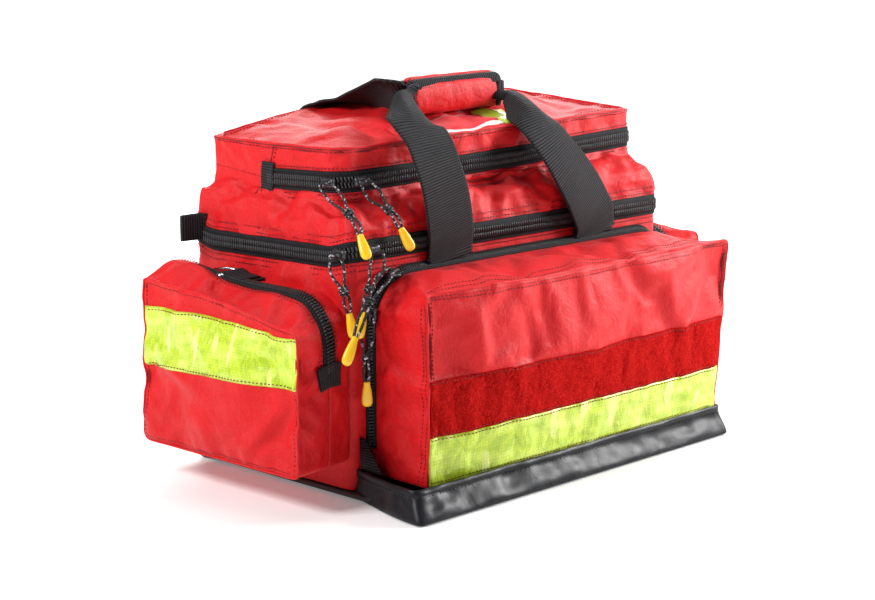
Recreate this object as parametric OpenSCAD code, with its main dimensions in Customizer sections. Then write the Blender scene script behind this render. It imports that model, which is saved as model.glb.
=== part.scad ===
// Emergency carry bag: a padded red holdall on a black tray, with a hinged lid that carries a
// smaller upper compartment, one long front pocket, two end pockets and two webbing handles.
// X runs along the long front, -Y is the front, +Z is up. The origin is on the ground in the
// middle of the bag's footprint.

/* [Main compartment] */
// Length of the main compartment, end to end
bag_l = 378; // [340:1:440]
// Depth of the main compartment, front to back
bag_d = 190; // [180:1:230]
// Height of the main zip above the ground
zip_z = 200; // [192:1:212]
// Height of the black tray's wall
tray_h = 22; // [16:1:26]

/* [Upper compartment] */
// Height of the upper zip above the ground
upper_zip_z = 256; // [252:1:260]
// Height of the seam round the top panel
top_seam_z = 279; // [274:1:281]
// How far the upper compartment stands in from each end of the bag
upper_in_x = 13; // [8:1:30]
// How far the upper compartment stands in from the bag's front
upper_in_front = 25; // [18:1:30]

/* [Front pocket] */
// How far the front pocket stands out
pocket_d = 74; // [50:1:90]
// Height of the front pocket's top
pocket_z = 176; // [160:1:176]
// How far the front pocket stands in from each end of the bag
pocket_in = 14; // [12:1:24]

/* [End pockets] */
// How far each end pocket stands out
side_d = 63; // [50:1:80]
// Length of each end pocket, front to back
side_l = 178; // [150:1:178]
// Height of each end pocket's top
side_z = 168; // [150:1:168]

/* [Handles] */
// Width of the handle webbing
strap_w = 50; // [38:1:50]
// Distance between the middles of a handle's two straps
strap_gap = 184; // [182:1:200]
// Length of the padded grip
grip_l = 128; // [110:1:130]

/* [Hidden] */
$fn = 64;
wall = 5;                // padded fabric walls
thin = 1.6;              // webbing, zip tape and tray skin
seam_gap = 0.3;          // half the gap at each zip
tape_h = 8;              // half of a zip's width
strap_t = 2.4;           // handle webbing
strap_out = 4;           // how far the rear handle's webbing stands behind the bag
corner_r = 12;           // upright corners of the bag

x_end = bag_l / 2;
y_front = -(bag_d + pocket_d + strap_out) / 2;
y_body = y_front + pocket_d;
y_back = y_body + bag_d;

board_t = 4;
board_z = 2;
shell_z = board_z + board_t;
lid_top = 230;
upper_x = x_end - upper_in_x;
upper_front = y_body + upper_in_front;
upper_back = y_back - 10;
upper_r = 20;
dome_h = 6;
dome_in = 12;
panel_t = 4;

pocket_x = x_end - pocket_in;
pocket_bottom = tray_h + 1;
pocket_r = 30;           // rounded top corners of the front pocket
face_t = 4;
patch_t = 1.2;           // flat strips sewn on a face
loop_low = 62;
loop_high = 107;
reflect_low = 24;

side_y0 = y_body + 6;    // front and back faces of the end pockets
side_y1 = side_y0 + side_l;
side_low = 30;
side_split = 25;         // the zip's distance from the bag's end
side_x = x_end + side_d;
side_r = 14;
side_t = 3;
side_tape_low = 98;
side_tape_high = 143;

anchor_z = 190;          // where each handle's free webbing starts
grip_y = 13;             // the plane in which the two grip halves meet
grip_t = 12;
grip_low = 290;
grip_high = 328;
grip_r = 8;
core_t = 4;              // webbing that runs through the grip
core_low = 300;
core_high = 322;

ring_r = 1.75;           // D-ring wire
ring_in = 13;            // middle of the wire to the middle of the ring
ring_x = x_end + 17;
ring_y = 62;
ring_z = 172.9;
ring_straight = 9;
sleeve_r = 3.4;
sleeve_bore = 2.05;

cord_r = 1.5;
cord_gap = 0.8;          // between the cord and its moulded end

// Webbing lines of the handles in the Y-Z plane, from the anchor up to the grip.
front_line = [[y_body - 2, anchor_z + 0.3], [y_body - 10, 228], [y_body, 246], [y_body + 8, 262],
              [y_body + 14, 284], [y_body + 36, 300], [-2, 308], [grip_y - 5, 316]];
rear_line = [[y_back + 2.3, anchor_z + 0.3], [y_back + 2.8, 232], [y_back - 4, 246],
             [y_back - 5, 283], [y_back - 32, 292], [58, 297], [30, 304], [grip_y + 5, 316]];

// Each zip pull: where its slider sits and how it is turned, then the line of its cord from the
// slider's eye down to the moulded end, and the middle of that end.
main_left = [[-x_end, y_body + 10, zip_z], [0, 0, -90],
             [[-197, -50, 197], [-198, -56, 180], [-198, -59, 154]], [-198, -60, 143]];
main_front = [[-167, y_body, zip_z], [0, 0, 0],
              [[-168, -68, 197], [-176, -70, 178], [-186, -72, 157]], [-190, -72, 147]];
upper_left = [[-upper_x, upper_front + 6, upper_zip_z], [0, 0, -90],
              [[-184, -31, 252], [-185, -50, 240], [-186, -67, 225]], [-186, -72, 214]];
upper_front_pull = [[-156, upper_front, upper_zip_z], [0, 0, 0],
                    [[-156, -44, 252], [-150, -56, 240], [-142, -68, 222]], [-138, -72, 211]];
pocket_top = [[-144, y_body - 5, pocket_z + patch_t], [-90, 0, 0],
              [[-151, -66, 184], [-174, -76, 172], [-198, -82, 140]], [-204, -83, 130]];
pocket_side = [[-pocket_x - patch_t, y_body - 5, 156], [0, 90, -90],
               [[-185, -66, 149], [-184, -68, 130], [-182, -70, 97]], [-182, -70, 86]];
side_left = [[-x_end - side_split, side_y1 + patch_t, 100], [0, 90, 180],
             [[-214, 131, 93], [-214, 131, 80], [-214, 130, 62]], [-214, 130, 51]];

red = "#d8141c";
black = "#1b1c20";
hivis = "#d4e832";
yellow = "#f4c41c";

// ---- shared shapes ----

// Flat rectangle from corner a to corner b with rounded corners.
module rounded(a, b, r) {
  translate([a[0] + r, a[1]]) square([b[0] - a[0] - 2 * r, b[1] - a[1]]);
  translate([a[0], a[1] + r]) square([b[0] - a[0], b[1] - a[1] - 2 * r]);
  for (x = [a[0] + r, b[0] - r], y = [a[1] + r, b[1] - r]) translate([x, y]) circle(r);
}

// Upright block from z0 to z1 over the rounded footprint.
module block(a, b, r, z0, z1) {
  translate([0, 0, z0]) linear_extrude(z1 - z0) rounded(a, b, r);
}

// Upright wall of thickness t just inside the rounded footprint, open above and below.
module ring(a, b, r, t, z0, z1) {
  translate([0, 0, z0]) linear_extrude(z1 - z0) difference() {
    rounded(a, b, r);
    rounded(a + [t, t], b - [t, t], max(r - t, 0.5));
  }
}

// Outline of a ribbon of thickness t that follows a line of points.
function side_step(p, i) = let (
    a = p[max(i - 1, 0)], b = p[min(i + 1, len(p) - 1)], d = b - a)
  [-d[1], d[0]] / norm(d);
function ribbon(p, t) = concat(
  [for (i = [0:len(p) - 1]) p[i] + side_step(p, i) * t / 2],
  [for (i = [len(p) - 1:-1:0]) p[i] - side_step(p, i) * t / 2]);

// Outline in the X-Z plane of a panel that stands on z0, with rounded top corners.
module arch(x, z0, z1, r) {
  translate([-x, z0]) square([2 * x, z1 - r - z0]);
  translate([-x + r, z0]) square([2 * x - 2 * r, z1 - z0]);
  for (s = [-1, 1]) translate([s * (x - r), z1 - r]) circle(r);
}

// The arch, extruded from y0 to y1.
module arch_block(x, z0, z1, r, y0, y1) {
  translate([0, y1, 0]) rotate([90, 0, 0]) linear_extrude(y1 - y0) arch(x, z0, z1, r);
}

// Box from corner a to corner b.
module box(a, b) { translate(a) cube(b - a); }

// Repeats its children on the bag's other end.
module both_ends() {
  children();
  mirror([1, 0, 0]) children();
}

bag_a = [-x_end, y_body];
bag_b = [x_end, y_back];
upper_a = [-upper_x, upper_front];
upper_b = [upper_x, upper_back];

// ---- fixed body ----

module base_tray() {
  a = [-x_end, y_front];
  b = [x_end, y_back];
  color(black) {
    block(a, b, corner_r, 0, board_z);
    ring(a, b, corner_r, thin, board_z, tray_h);
  }
}

module base_board() {
  in = thin + 0.4;
  color("#3a3a3c")
    block([-x_end + in, y_front + in], [x_end - in, y_back - in], corner_r - in, board_z, shell_z);
}

module body_shell() {
  a = bag_a + [thin, thin];
  b = bag_b - [thin, thin];
  color(red) {
    block(a, b, corner_r - thin, shell_z, shell_z + 2);
    ring(a, b, corner_r - thin, wall, shell_z + 2, zip_z - seam_gap);
  }
}

module padded_dividers() {
  inset = thin + wall + 0.5;
  for (x = [-x_end / 3, x_end / 3]) color("#7c1216")
    box([x - 3, y_body + inset, shell_z + 2], [x + 3, y_back - inset, zip_z - 50]);
}

// Zip tape round the front and both ends, as a skin outside a compartment's wall.
module zip_band(a, b, r, z0, z1) {
  color(black) difference() {
    ring(a, b, r, thin, z0, z1);
    box([a[0] + r, b[1] - r, z0 - 1], [b[0] - r, b[1] + 1, z1 + 1]);
  }
}

module main_zip_lower() zip_band(bag_a, bag_b, corner_r, zip_z - tape_h, zip_z - seam_gap);

module body_zip_tabs() color(black) {
  both_ends() {
    // folded end of the main zip, standing out behind the bag's end
    box([-x_end - 14, y_back - 22, zip_z - 11], [-x_end, y_back - 19, zip_z + 9]);
    // end of the end pocket's zip
    box([-x_end - side_split - 14, side_y0 - thin, 90],
        [-x_end - side_split + 14, side_y0 - 0.2, 114]);
    // folded end of the front pocket's zip
    translate([-pocket_x - 0.4, y_body, tray_h + 1]) rotate([90, 0, -90])
      linear_extrude(thin) polygon([[-1.6, 0], [24, 0], [0, 26], [-1.6, 26]]);
  }
}

module front_pocket_zip_rear() {
  color(black) difference() {
    arch_block(pocket_x, tray_h + 30, pocket_z, pocket_r, y_body, y_body + thin);
    arch_block(pocket_x - tape_h, tray_h, pocket_z - tape_h, pocket_r - tape_h,
               y_body - 1, y_body + thin + 1);
  }
}

// Gusset that is sewn to the bag's end, and the pocket's floor.
module side_pocket_base() {
  inner = -x_end + thin;
  split = -x_end - side_split + seam_gap;
  color(red) {
    difference() {
      box([split, side_y0, side_low], [inner, side_y1, side_z]);
      box([split - 1, side_y0 + side_t, side_low + side_t],
          [inner + 1, side_y1 - side_t, side_z - side_t]);
    }
    box([-side_x + patch_t + side_t, side_y0, side_low], [split, side_y1, side_low + side_t]);
  }
}

module side_pocket_left_base() side_pocket_base();
module side_pocket_right_base() mirror([1, 0, 0]) side_pocket_base();

// Tape that lies on the outside of an end pocket's gusset between x0 and x1.
module side_band(x0, x1) {
  color(black) difference() {
    box([x0, side_y0 - patch_t, side_low + 60], [x1, side_y1 + patch_t, side_z + patch_t]);
    box([x0 - 1, side_y0, side_low], [x1 + 1, side_y1, side_z]);
  }
}

module side_zips_rear() {
  both_ends() difference() {
    side_band(-x_end - side_split + seam_gap, -x_end - side_split + tape_h);
    box([-x_end - side_split - 16, side_y0 - 3, 88], [-x_end, side_y0, 116]);
  }
}

module d_ring_tabs() {
  plate_z = ring_z - sleeve_r;
  color(black) both_ends() {
    box([-ring_x - 11, ring_y - 22, plate_z], [-x_end + thin, ring_y - sleeve_r, plate_z + thin]);
    difference() {
      union() {
        translate([-ring_x - 11, ring_y, ring_z]) rotate([0, 90, 0]) cylinder(r = sleeve_r, h = 22);
        box([-ring_x - 11, ring_y - sleeve_r, plate_z], [-ring_x + 11, ring_y, plate_z + thin]);
      }
      translate([-ring_x - 12, ring_y, ring_z]) rotate([0, 90, 0])
        cylinder(r = sleeve_bore, h = 24);
    }
  }
}

// The sewn ends of the four handle straps.
module handle_strap_ends() {
  low = pocket_z + 3;
  for (s = [-1, 1]) color(black) {
    x = s * strap_gap / 2;
    box([x - strap_w / 2, y_body, low], [x + strap_w / 2, y_body + thin, anchor_z]);
    box([x - strap_w / 2, y_back - thin, low - 60], [x + strap_w / 2, y_back, anchor_z]);
  }
}

// ---- lid ----

module lid_shell() {
  a = bag_a + [thin, thin];
  b = bag_b - [thin, thin];
  color(red) {
    ring(a, b, corner_r - thin, wall, zip_z + seam_gap, lid_top - wall);
    block(a, b, corner_r - thin, lid_top - wall, lid_top);
  }
}

module main_zip_upper() zip_band(bag_a, bag_b, corner_r, zip_z + seam_gap, zip_z + tape_h);

module upper_walls() {
  in = [thin, thin];
  color(red)
    ring(upper_a + in, upper_b - in, upper_r - thin, wall, lid_top, upper_zip_z - seam_gap);
}

module upper_zip_lower()
  zip_band(upper_a, upper_b, upper_r, upper_zip_z - tape_h, upper_zip_z - seam_gap);

module upper_zip_tabs() {
  mid_y = (upper_front + upper_back) / 2;
  color(black) both_ends()
    box([-upper_x - 2, mid_y + 12, upper_zip_z - 13], [-upper_x, mid_y + 30, upper_zip_z - 1]);
}

// ---- top flap ----

module top_panel() {
  in = [thin, thin];
  top_in = [dome_in, dome_in];
  edge_r = upper_r - thin;
  a = upper_a + in;
  b = upper_b - in;
  color(red) {
    ring(a, b, edge_r, wall, upper_zip_z + seam_gap, top_seam_z - panel_t);
    block(a, b, edge_r, top_seam_z - panel_t, top_seam_z);
    hull() {
      block(a, b, edge_r, top_seam_z - 1, top_seam_z, $fn = 32);
      block(a + top_in, b - top_in, edge_r, top_seam_z, top_seam_z + dome_h, $fn = 32);
    }
  }
}

module upper_zip_upper()
  zip_band(upper_a, upper_b, upper_r, upper_zip_z + seam_gap, upper_zip_z + tape_h);

module top_strip() {
  z = top_seam_z + dome_h;
  color("#e8a0a8") box([-84, upper_front + dome_in + 2, z], [46, upper_front + 36, z + patch_t]);
}

// ---- front pocket ----

module front_pocket_shell() {
  y0 = y_front + patch_t;
  y1 = y_body - seam_gap;
  color(red) difference() {
    arch_block(pocket_x, pocket_bottom, pocket_z, pocket_r, y0, y1);
    arch_block(pocket_x - face_t, pocket_bottom - 1, pocket_z - face_t, pocket_r - face_t,
               y0 + face_t, y1 + 1);
  }
}

module front_loop_strip() {
  color("#a50f14")
    box([-pocket_x + 2, y_front, loop_low], [pocket_x - 2, y_front + patch_t, loop_high]);
}

module front_reflective_tape() {
  color(hivis)
    box([-pocket_x + 2, y_front, reflect_low], [pocket_x - 2, y_front + patch_t, loop_low]);
}

module front_pocket_zip_front() {
  y1 = y_body - seam_gap;
  color(black) difference() {
    arch_block(pocket_x + patch_t, tray_h + 30, pocket_z + patch_t, pocket_r + patch_t,
               y1 - tape_h, y1);
    arch_block(pocket_x, tray_h, pocket_z, pocket_r, y1 - tape_h - 1, y1 + 1);
  }
}

// ---- end pockets ----

// Front, top and outer half of the gusset, which fold down together.
module side_cover() {
  split = -x_end - side_split - seam_gap;
  face = -side_x + patch_t;
  low = side_low + side_t + 0.3;
  color(red) difference() {
    box([face, side_y0, low], [split, side_y1, side_z]);
    box([face + side_t, side_y0 + side_t, low - 1], [split + 1, side_y1 - side_t, side_z - side_t]);
  }
}

module side_reflective() {
  color(hivis)
    box([-side_x, side_y0 + 2, side_tape_low], [-side_x + patch_t, side_y1 - 2, side_tape_high]);
}

module side_zip() {
  difference() {
    side_band(-x_end - side_split - tape_h, -x_end - side_split - seam_gap);
    box([-x_end - side_split - 16, side_y0 - 3, 88], [-x_end, side_y0, 116]);
  }
}

module side_pocket_left_cover() side_cover();
module side_reflective_left() side_reflective();
module side_zip_left() side_zip();
module side_pocket_right_cover() mirror([1, 0, 0]) side_cover();
module side_reflective_right() mirror([1, 0, 0]) side_reflective();
module side_zip_right() mirror([1, 0, 0]) side_zip();

// ---- handles ----

// Two straps that follow a line up from the bag, joined by the webbing inside the grip.
module webbing(line, core_y) {
  color(black) {
    for (s = [-1, 1]) translate([s * strap_gap / 2 - strap_w / 2, 0, 0])
      rotate([90, 0, 90]) linear_extrude(strap_w) polygon(ribbon(line, strap_t));
    box([-strap_gap / 2, core_y, core_low], [strap_gap / 2, core_y + core_t, core_high]);
  }
}

// One half of the padded grip, from y0 to y1, round the webbing that starts at core_y.
module grip(y0, y1, core_y) {
  color(red) difference() {
    translate([0, y1, 0]) rotate([90, 0, 0]) linear_extrude(y1 - y0)
      rounded([-grip_l / 2, grip_low], [grip_l / 2, grip_high], grip_r);
    box([-grip_l, core_y, core_low], [grip_l, core_y + core_t, core_high]);
  }
}

module front_handle_webbing() webbing(front_line, grip_y - 7);
module front_grip_half() grip(grip_y - grip_t, grip_y - 0.15, grip_y - 7);
module rear_handle_webbing() webbing(rear_line, grip_y + 3);
module rear_grip_half() grip(grip_y + 0.15, grip_y + grip_t, grip_y + 3);

// ---- D-rings ----

module d_ring() {
  arc_y = ring_y + ring_straight;
  color("silver") {
    translate([-ring_x - ring_in, ring_y, ring_z]) rotate([0, 90, 0])
      cylinder(r = ring_r, h = 2 * ring_in);
    for (s = [-1, 1]) translate([-ring_x + s * ring_in, ring_y, ring_z]) {
      sphere(ring_r);
      rotate([-90, 0, 0]) cylinder(r = ring_r, h = ring_straight);
    }
    translate([-ring_x, arc_y, ring_z]) rotate_extrude(angle = 180)
      translate([ring_in, 0]) circle(ring_r);
  }
}

module d_ring_left() d_ring();
module d_ring_right() mirror([1, 0, 0]) d_ring();

// ---- zip sliders and pulls ----

// Slider for a zip that runs along X and faces -Y, with its bridge standing out.
module slider(pull) {
  color("#2a2b2e") translate(pull[0]) rotate(pull[1]) {
    box([-6, -4, -4.5], [6, -0.3, 4.5]);
    for (x = [-5, 3]) box([x, -6, -1.5], [x + 2, -4, 1.5]);
    box([-5, -7, -1.5], [5, -6, 1.5]);
  }
}

// Eight-sided tube through the cord's points, square to the line from its first to its last.
module pull_cord(pull) {
  line = pull[2];
  along = (line[len(line) - 1] - line[0]) / norm(line[len(line) - 1] - line[0]);
  u = cross(along, [1, 0, 0]) / norm(cross(along, [1, 0, 0]));
  v = cross(along, u);
  sides = 8;
  points = [for (p = line, k = [0:sides - 1])
    p + cord_r * (cos(k * 360 / sides) * u + sin(k * 360 / sides) * v)];
  last = (len(line) - 1) * sides;
  faces = concat(
    [[for (k = [sides - 1:-1:0]) k]],
    [[for (k = [0:sides - 1]) last + k]],
    [for (i = [0:len(line) - 2], k = [0:sides - 1])
      [i * sides + k, i * sides + (k + 1) % sides, (i + 1) * sides + (k + 1) % sides]],
    [for (i = [0:len(line) - 2], k = [0:sides - 1])
      [i * sides + k, (i + 1) * sides + (k + 1) % sides, (i + 1) * sides + k]]);
  color("#26262a") polyhedron(points, faces);
}

// Moulded end, wider at its foot, pointing along the last stretch of the cord.
module pull_end(pull) {
  top = pull[2][2];
  way = (pull[3] - top) / norm(pull[3] - top);
  turn = cross([0, 0, -1], way);
  long = 2 * norm(pull[3] - top);
  color(yellow) translate(pull[3] + cord_gap * way) rotate(a = acos(-way[2]), v = turn)
    translate([0, 3, 0]) rotate([90, 0, 0]) linear_extrude(6) {
      translate([0, long / 2 - 3.6]) circle(3.6);
      translate([0, -long / 2 + 4.6]) circle(4.6);
      polygon([[-3.6, long / 2 - 3.6], [-4.6, -long / 2 + 4.6],
               [4.6, -long / 2 + 4.6], [3.6, long / 2 - 3.6]]);
    }
}

module slider_main_left() slider(main_left);
module slider_main_front() slider(main_front);
module slider_upper_left() slider(upper_left);
module slider_upper_front() slider(upper_front_pull);
module slider_pocket_top() slider(pocket_top);
module slider_pocket_side() slider(pocket_side);
module slider_side_left() slider(side_left);
module slider_side_right() mirror([1, 0, 0]) slider(side_left);
module pull_cord_main_left() pull_cord(main_left);
module pull_cord_main_front() pull_cord(main_front);
module pull_cord_upper_left() pull_cord(upper_left);
module pull_cord_upper_front() pull_cord(upper_front_pull);
module pull_cord_pocket_top() pull_cord(pocket_top);
module pull_cord_pocket_side() pull_cord(pocket_side);
module pull_cord_side_left() pull_cord(side_left);
module pull_cord_side_right() mirror([1, 0, 0]) pull_cord(side_left);
module pull_end_main_left() pull_end(main_left);
module pull_end_main_front() pull_end(main_front);
module pull_end_upper_left() pull_end(upper_left);
module pull_end_upper_front() pull_end(upper_front_pull);
module pull_end_pocket_top() pull_end(pocket_top);
module pull_end_pocket_side() pull_end(pocket_side);
module pull_end_side_left() pull_end(side_left);
module pull_end_side_right() mirror([1, 0, 0]) pull_end(side_left);

base_tray();
base_board();
body_shell();
padded_dividers();
main_zip_lower();
body_zip_tabs();
front_pocket_zip_rear();
side_pocket_left_base();
side_pocket_right_base();
side_zips_rear();
d_ring_tabs();
handle_strap_ends();
lid_shell();
main_zip_upper();
upper_walls();
upper_zip_lower();
upper_zip_tabs();
top_panel();
upper_zip_upper();
top_strip();
front_pocket_shell();
front_loop_strip();
front_reflective_tape();
front_pocket_zip_front();
side_pocket_left_cover();
side_reflective_left();
side_zip_left();
side_pocket_right_cover();
side_reflective_right();
side_zip_right();
front_handle_webbing();
front_grip_half();
rear_handle_webbing();
rear_grip_half();
d_ring_left();
d_ring_right();
slider_main_left();
slider_main_front();
slider_upper_left();
slider_upper_front();
slider_pocket_top();
slider_pocket_side();
slider_side_left();
slider_side_right();
pull_cord_main_left();
pull_cord_main_front();
pull_cord_upper_left();
pull_cord_upper_front();
pull_cord_pocket_top();
pull_cord_pocket_side();
pull_cord_side_left();
pull_cord_side_right();
pull_end_main_left();
pull_end_main_front();
pull_end_upper_left();
pull_end_upper_front();
pull_end_pocket_top();
pull_end_pocket_side();
pull_end_side_left();
pull_end_side_right();
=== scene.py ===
"""Looks for the red emergency bag: padded fabric, zips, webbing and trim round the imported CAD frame.

Lengths inside this script are in millimetres, in the CAD frame; they become metres when a mesh is made.
"""
import math
import bmesh
import bpy
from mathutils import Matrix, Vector, noise


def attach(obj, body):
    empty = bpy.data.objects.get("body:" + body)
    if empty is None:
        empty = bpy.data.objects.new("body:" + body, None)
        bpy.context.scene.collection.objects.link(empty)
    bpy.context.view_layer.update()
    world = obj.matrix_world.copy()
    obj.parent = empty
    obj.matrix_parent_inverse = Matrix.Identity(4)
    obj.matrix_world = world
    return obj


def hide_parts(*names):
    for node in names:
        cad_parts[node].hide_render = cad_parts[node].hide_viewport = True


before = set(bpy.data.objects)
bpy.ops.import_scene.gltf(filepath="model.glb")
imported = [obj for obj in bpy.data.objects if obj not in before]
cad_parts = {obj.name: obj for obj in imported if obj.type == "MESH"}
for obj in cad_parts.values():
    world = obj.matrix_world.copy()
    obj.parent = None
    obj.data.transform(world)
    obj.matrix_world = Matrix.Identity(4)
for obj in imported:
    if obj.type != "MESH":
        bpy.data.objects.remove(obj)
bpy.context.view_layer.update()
MM = 0.001
SCENE = bpy.context.scene
SCENE.view_settings.view_transform = "Standard"


def lerp(a, b, t):
    return a + (b - a) * t


def clamp(x, low=0.0, high=1.0):
    return max(low, min(high, x))


def smooth(t):
    t = clamp(t)
    return t * t * (3 - 2 * t)


def bump(t):
    """0 at both ends of 0..1 and 1 in the middle, with full shoulders."""
    return max(0.0, math.sin(math.pi * clamp(t))) ** 0.6


def square_to(a, way):
    """The part of a at right angles to way, as a unit vector."""
    return (a - way * a.dot(way)).normalized()


def way_at(points, i):
    """Direction of a line at its point i."""
    return (points[min(i + 1, len(points) - 1)] - points[max(i - 1, 0)]).normalized()


def length_of(points):
    return sum((b - a).length for a, b in zip(points, points[1:]))


def arc(radius, first, last, step):
    """Points at that radius, from the first angle to before the last, in degrees."""
    turns = [math.radians(a) for a in range(first, last, step)]
    return [(radius * math.cos(a), radius * math.sin(a)) for a in turns]


def new_object(name, data):
    obj = bpy.data.objects.new(name, data)
    SCENE.collection.objects.link(obj)
    return obj


def table(points, t):
    """Values read off a short list of (t, value) stops, with straight lines between them."""
    for (t0, a), (t1, b) in zip(points, points[1:]):
        if t <= t1:
            return lerp(a, b, clamp((t - t0) / (t1 - t0)))
    return points[-1][1]


def fold(p, a, b, height, width):
    """Height at p of a soft ridge (or a valley, if negative) along the line from a to b."""
    p, a, b = Vector(p), Vector(a), Vector(b)
    ab = b - a
    t = clamp((p - a).dot(ab) / ab.length_squared)
    d = (p - a - ab * t).length
    return height * math.exp(-(d / width) ** 2) * (0.35 + 0.65 * math.sin(math.pi * clamp(t, 0.04, 0.96)))


def folds(p, rows):
    """Sum of the folds in rows of (a, b, height, width)."""
    return sum(fold(p, *row) for row in rows)


def ripple(p, size, seed=0.0):
    """Smooth noise between about -1 and 1, with features of that size in millimetres."""
    q = Vector(p) / size + Vector((seed, seed * 0.7, -seed))
    return noise.noise(q) * 1.6


# ---------------------------------------------------------------- camera
camera = new_object("camera", bpy.data.cameras.new("camera"))
SCENE.camera = camera
camera.location = (-1.6146, -1.5573, 0.6134)
LOOKS_DOWN, LOOKS_ROUND = 12.2, -45.5     # degrees
camera.rotation_euler = (math.radians(90 - LOOKS_DOWN), 0, math.radians(LOOKS_ROUND))
camera.data.lens = 109.5
camera.data.sensor_width = 36
camera.data.clip_start = 0.05
camera.data.clip_end = 60


# ---------------------------------------------------------------- materials
class Mat:
    """A procedural material, built round one Principled shader."""

    def __init__(self, name, color, rough, **sockets):
        self.m = bpy.data.materials.new(name)
        self.m.use_nodes = True
        self.t = self.m.node_tree
        self.shader = self.t.nodes["Principled BSDF"]
        self.shader.inputs["Base Color"].default_value = (*color, 1)
        self.shader.inputs["Roughness"].default_value = rough
        for key, value in sockets.items():
            self.shader.inputs[key.replace("_", " ")].default_value = value
        self.height = None
        self.coord = self.t.nodes.new("ShaderNodeTexCoord")

    def node(self, kind, **inputs):
        n = self.t.nodes.new(kind)
        for key, value in inputs.items():
            if key.startswith("set_"):
                setattr(n, key[4:], value)
            elif isinstance(value, bpy.types.NodeSocket):
                self.t.links.new(value, n.inputs[key.replace("_", " ")])
            else:
                n.inputs[key.replace("_", " ")].default_value = value
        return n

    def where(self, uv=False, scale=(1, 1, 1)):
        out = self.coord.outputs["UV" if uv else "Object"]
        n = self.node("ShaderNodeMapping", Scale=scale)
        self.t.links.new(out, n.inputs["Vector"])
        return n.outputs[0]

    def noise(self, size, detail=3.0, rough=0.55, uv=False, stretch=(1, 1, 1), distort=0.0):
        """Noise with features of that size in millimetres."""
        k = 1.0 / (size * MM)
        v = self.where(uv, tuple(s * k for s in stretch))
        return self.node("ShaderNodeTexNoise", Vector=v, Scale=1.0, Detail=detail, Roughness=rough,
                         Distortion=distort).outputs[0]

    def wave(self, pitch, axis, uv=False, distort=0.0):
        v = self.where(uv)
        return self.node("ShaderNodeTexWave", Vector=v, Scale=2 * math.pi / 20 / (pitch * MM),
                         Distortion=distort, Detail=1.0, set_bands_direction=axis).outputs["Fac"]

    def math(self, op, a, b=0.5):
        n = self.t.nodes.new("ShaderNodeMath")
        n.operation = op
        for i, x in enumerate((a, b)):
            if isinstance(x, bpy.types.NodeSocket):
                self.t.links.new(x, n.inputs[i])
            else:
                n.inputs[i].default_value = x
        return n.outputs[0]

    def times(self, a, b):
        return self.math("MULTIPLY", a, b)

    def ramp(self, fac, stops):
        n = self.node("ShaderNodeValToRGB", Fac=fac)
        e = n.color_ramp.elements
        while len(e) < len(stops):
            e.new(0.5)
        for item, (place, color) in zip(e, stops):
            item.position = place
            item.color = (*color, 1)
        return n.outputs[0]

    def mask(self, fac, low, high, top=1.0):
        """0 where fac is under low, rising to top where it is over high."""
        return self.ramp(fac, [(low, (0, 0, 0)), (high, (top, top, top))])

    def mix(self, fac, a, b, kind="MIX"):
        n = self.t.nodes.new("ShaderNodeMix")
        n.data_type = "RGBA"
        n.blend_type = kind
        for i, x in ((0, fac), (6, a), (7, b)):
            if isinstance(x, bpy.types.NodeSocket):
                self.t.links.new(x, n.inputs[i])
            elif i:
                n.inputs[i].default_value = (*x, 1)
            else:
                n.inputs[i].default_value = x
        return n.outputs[2]

    def color(self, socket):
        self.t.links.new(socket, self.shader.inputs["Base Color"])

    def rough(self, fac, low, high):
        n = self.node("ShaderNodeMapRange", Value=fac)
        n.inputs["To Min"].default_value = low
        n.inputs["To Max"].default_value = high
        self.t.links.new(n.outputs[0], self.shader.inputs["Roughness"])

    def dent(self, height, depth):
        """Adds a bump layer of that depth in millimetres."""
        n = self.node("ShaderNodeBump", Height=height, Strength=1.0, Distance=depth * MM)
        if self.height:
            self.t.links.new(self.height, n.inputs["Normal"])
        self.height = n.outputs[0]
        self.t.links.new(self.height, self.shader.inputs["Normal"])


def woven(name, color, dark, rough, pitch=1.0, sheen=0.3, tint=(1, 0.72, 0.74), crease=1.0):
    """Woven polyester: a plain weave on every face, soft creases and a slightly uneven dye."""
    m = Mat(name, color, rough, Sheen_Weight=sheen, Sheen_Roughness=0.35, Sheen_Tint=(*tint, 1),
            Specular_IOR_Level=0.27)
    wx, wy, wz = (m.wave(pitch, a, distort=3.0) for a in "XYZ")
    cloth = m.math("ADD", m.math("ADD", wx, wy), wz)
    uneven = m.noise(38, 4, 0.6)
    fine = m.noise(1.7, 2, 0.7)
    base = m.mix(m.times(uneven, 0.55), color, dark)
    base = m.mix(m.mask(fine, 0.35, 0.75, 0.5), base, dark)
    pale = tuple(min(1, c * 1.5 + 0.02) for c in color)
    m.color(m.mix(m.times(m.times(cloth, 0.33), 0.13), base, pale))
    m.rough(fine, rough - 0.12, rough + 0.14)
    m.dent(m.noise(34, 3, 0.5, distort=0.7), 2.0 * crease)
    m.dent(m.noise(10, 3, 0.55, distort=0.6, stretch=(1, 1, 0.7)), 0.55 * crease)
    m.dent(fine, 0.10)
    m.dent(cloth, 0.06)
    return m


RED = (0.74, 0.0035, 0.0075)
RED_DARK = (0.38, 0.001, 0.002)
red = woven("red_polyester", RED, RED_DARK, 0.5, sheen=0.10, tint=(1, 0.6, 0.62), crease=1.4).m
lining = woven("lining", (0.30, 0.006, 0.010), (0.16, 0.003, 0.005), 0.7, pitch=0.9).m
divider_fabric = woven("divider_fabric", (0.22, 0.010, 0.014), (0.12, 0.004, 0.006), 0.75, pitch=1.0).m


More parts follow.
